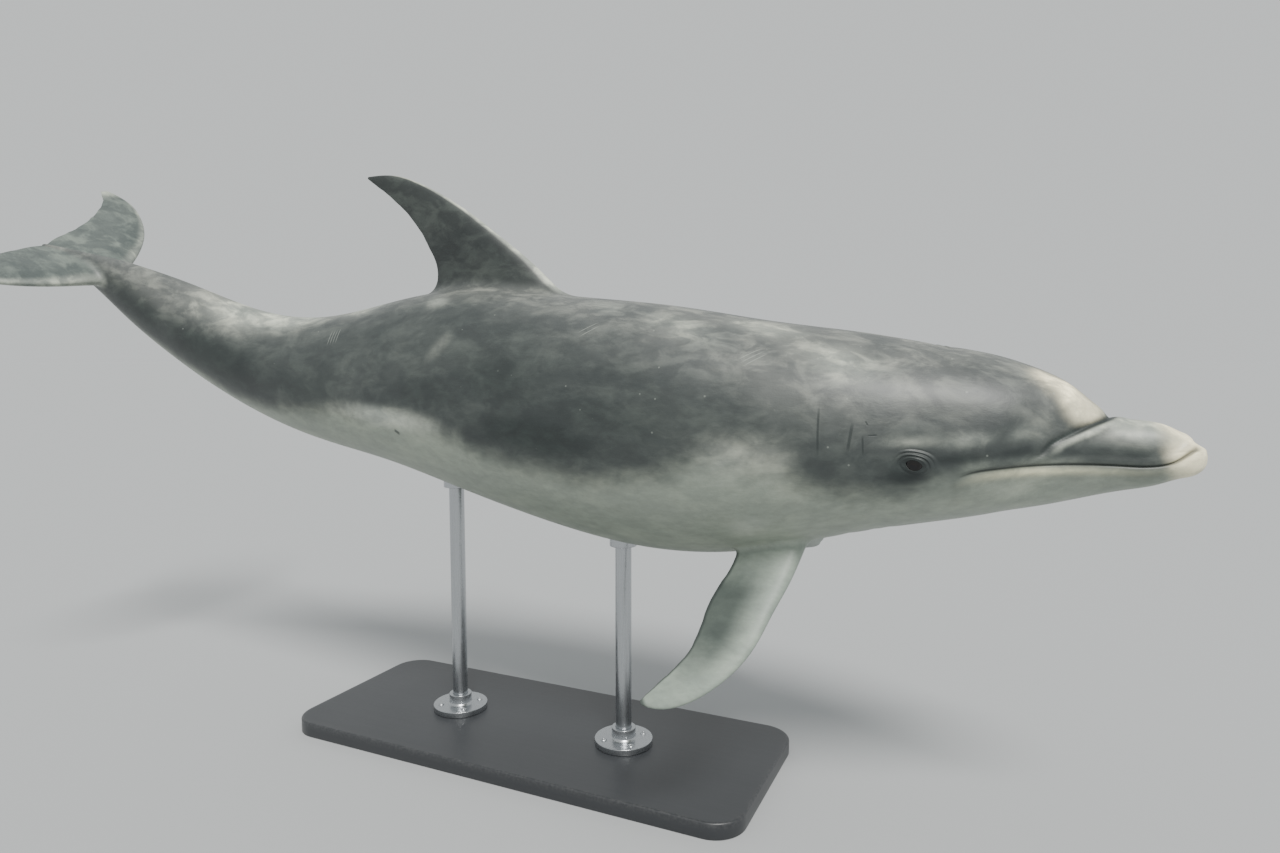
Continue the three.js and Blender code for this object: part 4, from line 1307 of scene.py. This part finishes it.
class DolphinSkinSettings(bpy.types.PropertyGroup):
    """Colours and sheen of the skin."""
    back: colour_setting("Back", "Cape over the back", 0x646866)
    flank: colour_setting("Flank", "Sides below the cape", 0x3C4241)
    belly: colour_setting("Belly", "Belly and throat", 0x929A8E)
    # Also the colour of painted light on the back, the tail stock and the beak, and of the painted
    # highlights on the crease's fold and the dorsal fin's front edge
    pale: colour_setting("Pale marks", "Streaks, shoulder and melon front", 0xAFB5AB)
    # Also the colour of the painted shade in the crease before the melon
    dark: colour_setting("Dark marks", "Eye patch, flank lobe and fin rims", 0x252D2C)
    lip: colour_setting("Lip", "Strip along the lower lip", 0xD6D6B8)
    # Also the colour of the painted highlight on the melon's front
    snout: colour_setting("Jaw tips", "Tips of both jaws", 0xEAE4C6)
    # Painted shade in the mouth line's groove and the blowhole's slit
    seam: colour_setting("Mouth line", "Inside the mouth line and the blowhole", 0x1E2726)
    fin: colour_setting("Dorsal fin", "Sides of the dorsal fin", 0x303635)
    flipper: colour_setting("Flipper", "Flippers near the root", 0x47504B)
    flipper_tip: colour_setting("Outer flipper", "Pale outer part of the flippers", 0x8A958B)
    fluke: colour_setting("Flukes", "Both flukes", 0x565F5C)
    roughness: number_setting("Roughness", "Roughness of the skin under its coat", 0.50, **SHARE)
    wetness: number_setting("Wetness", "Clear coat over the skin", 0.10, **SHARE)


class DolphinFaceSettings(bpy.types.PropertyGroup):
    """Sizes and colours of the mouth and the eyes."""
    mouth_depth: length_setting("Mouth depth", "Depth of the closed mouth's groove", 0.0038)
    mouth_width: length_setting("Mouth width", "Half width of the closed mouth's groove", 0.0018,
                                0.0005)
    cornea: length_setting("Cornea", "How far the cornea stands out of the eyeball", 0.0005)
    iris: colour_setting("Iris", "Outer iris", 0x0B0908)
    iris_inner: colour_setting("Inner iris", "Iris next to the pupil", 0x130F0C)
    eye_rim: colour_setting("Eye rim", "White of the eye beyond the iris", 0x1C1A1A)


class DolphinStandSettings(bpy.types.PropertyGroup):
    """Finish of the display stand."""
    base: colour_setting("Base", "Lacquer of the base board", 0x2B2D30)
    steel: colour_setting("Steel", "Rods, collars and flanges", 0xC4C7CA)
    screws: bpy.props.IntProperty(
        name="Screws", description="Screws in each flange", default=4, min=0, max=12)


class DolphinStageSettings(bpy.types.PropertyGroup):
    """Camera, floor and lights."""
    eye_point: bpy.props.FloatVectorProperty(
        name="Camera place", description="Where the camera stands", size=3,
        default=(0.890, -1.425, 0.802), unit="LENGTH", subtype="TRANSLATION")
    turn: bpy.props.FloatVectorProperty(
        name="Camera turn", description="How the camera is turned", size=3, subtype="EULER",
        default=tuple(math.radians(a) for a in (85.13, 0.0, 24.65)), unit="ROTATION")
    lens: number_setting("Lens", "Focal length on a 36 mm wide sensor", 23.0, min=1.0)
    room_colour: colour_setting("Room colour", "Colour of the even light from all round",
                                (0.94, 0.97, 0.97))
    room: number_setting("Room light", "Strength of the even light from all round", 0.76, min=0.0)
    sun: number_setting("Key light", "Strength of the broad light from above", 3.6, min=0.0)
    sun_colour: colour_setting("Key colour", "Colour of the broad light from above",
                               (1.0, 0.985, 0.95))
    sun_down: number_setting("Key angle", "Degrees that the key light leans from straight overhead",
                             36.0, min=0.0, max=80.0)
    sun_round: number_setting(
        "Key bearing", "Bearing of the key light round the model in degrees, from ahead", -52.0)
    floor: number_setting(
        "Floor", "The floor's reflectance against the one that hides the horizon", 1.0,
        min=0.0, max=1.5, subtype="FACTOR")


# ---- Operators --------------------------------------------------------------------------

FLOOR_REACH = 150.0
SUN_WIDTH = math.radians(20)
SENSOR_WIDTH = 36.0
FLESH = ("upper_beak", "lower_jaw", "head", "trunk", "tail_stock", "tail_end", "dorsal_fin",
         "flipper_left", "flipper_right", "fluke_left", "fluke_right")


def finish_piece(piece, material, slot, *nodes):
    """Gives a piece its material, its place on the frame and the nodes that it stands for."""
    piece.data.materials.append(material)
    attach(piece, "root")
    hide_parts(*nodes)


class DOLPHIN_OT_skin(bpy.types.Operator):
    """Make the whole skin, with beak, lids, blowhole, flippers, dorsal fin and flukes"""
    bl_idname = "dolphin.skin"
    bl_label = "Build Skin"

    def execute(self, context):
        mesh = SkinMesh()
        grid = BodyGrid(mesh)
        for side in (-1, 1):
            add_lids(mesh, grid, side)
        add_blowhole(mesh, grid)
        add_fins(mesh, grid)
        grid.finish()
        faces, corners = np.concatenate(mesh.faces), np.concatenate(mesh.corners)
        points, fields, faces = drop_loose(np.concatenate(mesh.points),
                                           np.concatenate(mesh.fields), faces)
        carried = dict(zip(FIELDS, fields.T))
        at, angle = carried.pop("at"), wrapped(carried.pop("angle"))
        skin = make_object("dolphin_skin", points, faces, corners)
        carry(skin, marking_fields(at, angle, carried))
        finish_piece(skin, skin_material(context.scene.dolphin_skin), "skin", *FLESH)
        return {"FINISHED"}


class DOLPHIN_OT_eyes(bpy.types.Operator):
    """Make the two eyeballs, each with a cornea that stands slightly out"""
    bl_idname = "dolphin.eyes"
    bl_label = "Build Eyes"

    def execute(self, context):
        settings = context.scene.dolphin_face
        material = eye_material(settings)
        for side, name in ((1, "left"), (-1, "right")):
            piece, fields = self.eyeball(side, f"eyeball_{name}", settings.cornea)
            carry(piece, fields)
            finish_piece(piece, material, "eye", f"eye_{name}")
        return {"FINISHED"}

    def eyeball(self, side, name, cornea):
        """A ball of rings about the line of sight, raised in front by a Gaussian cornea."""
        angle = np.array(side * EYE["angle"])
        middle, tail, up, left = spine_frame(EYE["at"])
        out = left * math.sin(angle) + up * math.cos(angle)
        middle = middle + out * (float(skin_radius(EYE["at"], angle)) - EYE["depth"])
        ahead = -tail
        above = np.cross(ahead, out)
        above = above * np.sign(above[2])
        polar = np.pi * np.arange(1, EYE_RINGS) / EYE_RINGS
        turn = full_turn(EYE_SIDES)
        ring = np.cos(turn)[:, None] * ahead + np.sin(turn)[:, None] * above * side
        reach = EYE["radius"] - cornea + cornea * bump(polar, 0, 0.5) - EYE_ROOM
        rings = middle + reach[:, None, None] * (
            np.cos(polar)[:, None, None] * out + np.sin(polar)[:, None, None] * ring[None])
        points, faces = closed_grid(rings, [middle + out * (EYE["radius"] - EYE_ROOM),
                                            middle - out * EYE["radius"]])
        piece = outward_faces(make_object(name, points, faces))
        offset = (points - middle) / EYE["radius"]
        facing = (offset * out).sum(1) > 0
        along, over = (offset * ahead).sum(1), (offset * above).sum(1)
        bowed = over + 0.10 - 0.9 * along ** 2
        return piece, {"ring": np.where(facing, np.hypot(along, over), 1.0),
                       "across": np.where(facing, np.hypot(along * 0.55, bowed), 1.0)}


def outward_faces(piece):
    """Turns a closed piece's faces outwards, by the sign of the volume that they enclose."""
    mesh = piece.data
    mesh.calc_loop_triangles()
    corners = np.empty(len(mesh.loop_triangles) * 3, np.int32)
    mesh.loop_triangles.foreach_get("vertices", corners)
    points = np.empty(len(mesh.vertices) * 3)
    mesh.vertices.foreach_get("co", points)
    a, b, c = points.reshape(-1, 3)[corners.reshape(-1, 3)].transpose(1, 0, 2)
    if (a * np.cross(b, c)).sum() < 0:
        mesh.flip_normals()
    return piece


class DOLPHIN_OT_stand(bpy.types.Operator):
    """Make the base board, the two rods, and their flanges, screws and collars"""
    bl_idname = "dolphin.stand"
    bl_label = "Build Stand"

    def execute(self, context):
        settings = context.scene.dolphin_stand
        board = self.board()
        finish_piece(board, base_material(settings), "stand_base", "stand_base")
        rod_steel = steel_material(settings, "stand_rod_steel", (500.0, 500.0, 12.0))
        turned_steel = steel_material(settings, "stand_turned_steel", (160.0, 160.0, 900.0))
        rod, collar, flange = STAND["rod"], STAND["collar"], STAND["flange"]
        low = STAND["height"] + STAND["gap"]
        step, hub_top = low + flange["height"], low + flange["hub_height"]
        for name, x in STAND["places"].items():
            belly = self.belly_height(x)
            bottom, top = belly - collar["height"], belly + collar["sunk"]
            rod_top = belly + STAND["rod_sunk"]
            pieces = {
                "rod": [(0.0, low), (rod, low), (rod, rod_top), (0.0, rod_top)],
                "collar": [(rod, bottom), (collar["radius"], bottom), (collar["radius"], top),
                           (rod, top)],
                "flange": [(rod, low), (flange["radius"], low), (flange["radius"], step),
                           (flange["hub"] + flange["step"], step),
                           (flange["hub"], step + flange["step"]),
                           (flange["hub"], hub_top), (rod, hub_top)],
            }
            for kind, profile in pieces.items():
                piece = self.turned(f"stand_{kind}_piece_{name}", profile, x,
                                    settings.screws if kind == "flange" else 0)
                steel = rod_steel if kind == "rod" else turned_steel
                finish_piece(piece, steel, "stand_steel", f"stand_{kind}_{name}")
        return {"FINISHED"}

    def belly_height(self, x):
        """Height of the belly's midline over a place on the base."""
        at = np.linspace(0.4, 1.8, 1400)
        points = skin_point(at, np.full_like(at, np.pi))
        return float(np.interp(-x, -points[:, 0], points[:, 2]))

    def board(self):
        """The base board: a rectangle with round corners, drawn in at the bevels. Its profile
        is the drawing in, the height and the wear of each ring."""
        x, y, corner = STAND["length"] / 2, STAND["width"] / 2, STAND["corner"]
        bevel, height = STAND["bevel"], STAND["height"]
        quarter = np.linspace(0, np.pi / 2, 13)
        signs = ((1, 1), (-1, 1), (-1, -1), (1, -1))
        middles = np.repeat([(sx * (x - corner), sy * (y - corner)) for sx, sy in signs], 13, 0)
        ways = np.concatenate([quarter + i * np.pi / 2 for i in range(4)])
        ways = np.stack([np.cos(ways), np.sin(ways)], axis=1)
        profile = [(bevel, 0.0, 0.0), (0.0006, 0.0006, 0.6), (0.0, 0.002, 0.3),
                   (0.0, height * 0.5, 0.0)]
        profile += [(bevel * (1 - math.cos(turn)), height - bevel * (1 - math.sin(turn)), 1.0)
                    for turn in np.linspace(0, np.pi / 2, 6)]
        profile += [(bevel + 0.004, height, 0.15), (bevel + 0.02, height, 0.0)]
        rings = np.array([np.column_stack([middles + ways * (corner - inset),
                                           np.full(len(ways), z)]) for inset, z, _ in profile])
        points, faces = closed_grid(rings, [(0, 0, 0), (0, 0, height)])
        board = outward_faces(make_object("stand_board", points, faces))
        wear = np.repeat([share for *_, share in profile], len(ways))
        carry(board, {"edge": np.append(wear, [0, 0])})
        return board

    def turned(self, name, profile, x, screws):
        """A rounded profile turned about the rod's axis, with screws set round a flange. A
        profile that starts on the axis makes a solid piece and any other one a ring."""
        outline = np.array(profile)
        if outline[0, 0] == 0.0:
            outline = rounded(outline, STAND["rod_rounding"])
            outline = outline[outline[:, 0] > 1e-4]
            outline = outline[np.argsort(outline[:, 1], kind="stable")]
            shells = [self.capped(outline, STAND["sides"], (x, 0.0))]
        else:
            outline = rounded(outline, STAND["ring_rounding"])
            shells = [closed_grid(turned_grid(outline, STAND["sides"], (x, 0.0)))]
        flange = STAND["flange"]
        head = self.screw_head(STAND["height"] + STAND["gap"] + flange["height"])
        place = (flange["hub"] + flange["radius"]) / 2 + 0.001
        for turn in full_turn(screws) + np.pi / max(screws, 1):
            axis = (x + place * math.cos(turn), place * math.sin(turn))
            shells.append(self.capped(head, STAND["screw_sides"], axis))
        starts = np.cumsum([0] + [len(points) for points, _ in shells])
        faces = [np.where(faces < 0, -1, faces + start)
                 for (_, faces), start in zip(shells, starts)]
        return outward_faces(make_object(name, np.concatenate([points for points, _ in shells]),
                                         np.concatenate(faces)))

    def capped(self, profile, sides, axis):
        """Points and faces of a profile turned about an axis, closed at both its ends."""
        return closed_grid(turned_grid(profile, sides, axis),
                           [(*axis, profile[i][1]) for i in (0, -1)])

    def screw_head(self, top):
        """Profile of a domed screw head with a round drive recess, from its foot inwards."""
        turn = np.linspace(0, 1.15, 7)
        dome = [(0.0062 * math.cos(t), top + 0.0034 * math.sin(t)) for t in turn]
        return [(0.0045, top - 0.002), (0.0062, top - 0.0005), *dome, (0.0023, top + 0.0031),
                (0.0021, top + 0.0014)]


class DOLPHIN_OT_stage(bpy.types.Operator):
    """Make the floor, the soft lights and the camera"""
    bl_idname = "dolphin.stage"
    bl_label = "Build Stage"

    def execute(self, context):
        settings = context.scene.dolphin_stage
        corners = FLOOR_REACH * np.array([(-1, -1, 0), (1, -1, 0), (1, 1, 0), (-1, 1, 0)])
        floor = make_object("studio_floor", corners, np.array([[0, 1, 2, 3]]), smooth=False)
        floor.data.materials.append(floor_material(settings))
        sun = bpy.data.lights.new("key_light", "SUN")
        sun.energy, sun.angle, sun.color = settings.sun, SUN_WIDTH, settings.sun_colour
        lamp = bpy.data.objects.new("key_light", sun)
        lamp.rotation_euler = (0, math.radians(settings.sun_down),
                               math.radians(settings.sun_round))
        context.scene.collection.objects.link(lamp)
        world = bpy.data.worlds.new("studio_room")
        world.use_nodes = True
        background = world.node_tree.nodes["Background"]
        background.inputs["Color"].default_value = (*settings.room_colour, 1.0)
        background.inputs["Strength"].default_value = settings.room
        context.scene.world = world
        camera = bpy.data.cameras.new("studio_camera")
        camera.lens, camera.sensor_width = settings.lens, SENSOR_WIDTH
        camera.clip_end = 400.0
        holder = bpy.data.objects.new("studio_camera", camera)
        holder.location, holder.rotation_euler = settings.eye_point, settings.turn
        context.scene.collection.objects.link(holder)
        context.scene.camera = holder
        return {"FINISHED"}


class DOLPHIN_PT_panel(bpy.types.Panel):
    """Lists the steps that build the model and the values that they use."""
    bl_idname = "DOLPHIN_PT_panel"
    bl_label = "Display Dolphin"
    bl_space_type = "VIEW_3D"
    bl_region_type = "UI"
    bl_category = "Dolphin"

    def draw(self, context):
        steps = (("dolphin.skin", context.scene.dolphin_skin),
                 ("dolphin.eyes", context.scene.dolphin_face),
                 ("dolphin.stand", context.scene.dolphin_stand),
                 ("dolphin.stage", context.scene.dolphin_stage))
        for step, settings in steps:
            box = self.layout.box()
            box.operator(step)
            for name in settings.__annotations__:
                box.prop(settings, name)


SETTINGS = {
    "dolphin_skin": DolphinSkinSettings, "dolphin_face": DolphinFaceSettings,
    "dolphin_stand": DolphinStandSettings, "dolphin_stage": DolphinStageSettings,
}
CLASSES = (*SETTINGS.values(), DOLPHIN_OT_skin, DOLPHIN_OT_eyes, DOLPHIN_OT_stand,
           DOLPHIN_OT_stage, DOLPHIN_PT_panel)


def register():
    """Registers the classes and hangs each group of settings on the scene."""
    for kind in CLASSES:
        bpy.utils.register_class(kind)
    for name, group in SETTINGS.items():
        setattr(bpy.types.Scene, name, bpy.props.PointerProperty(type=group))


def unregister():
    """Takes back what register did, in the opposite order."""
    for name in SETTINGS:
        delattr(bpy.types.Scene, name)
    for kind in reversed(CLASSES):
        bpy.utils.unregister_class(kind)


def main():
    """Builds every piece and the stage."""
    register()
    bpy.ops.dolphin.skin()
    bpy.ops.dolphin.eyes()
    bpy.ops.dolphin.stand()
    bpy.ops.dolphin.stage()


if __name__ == "__main__":
    main()
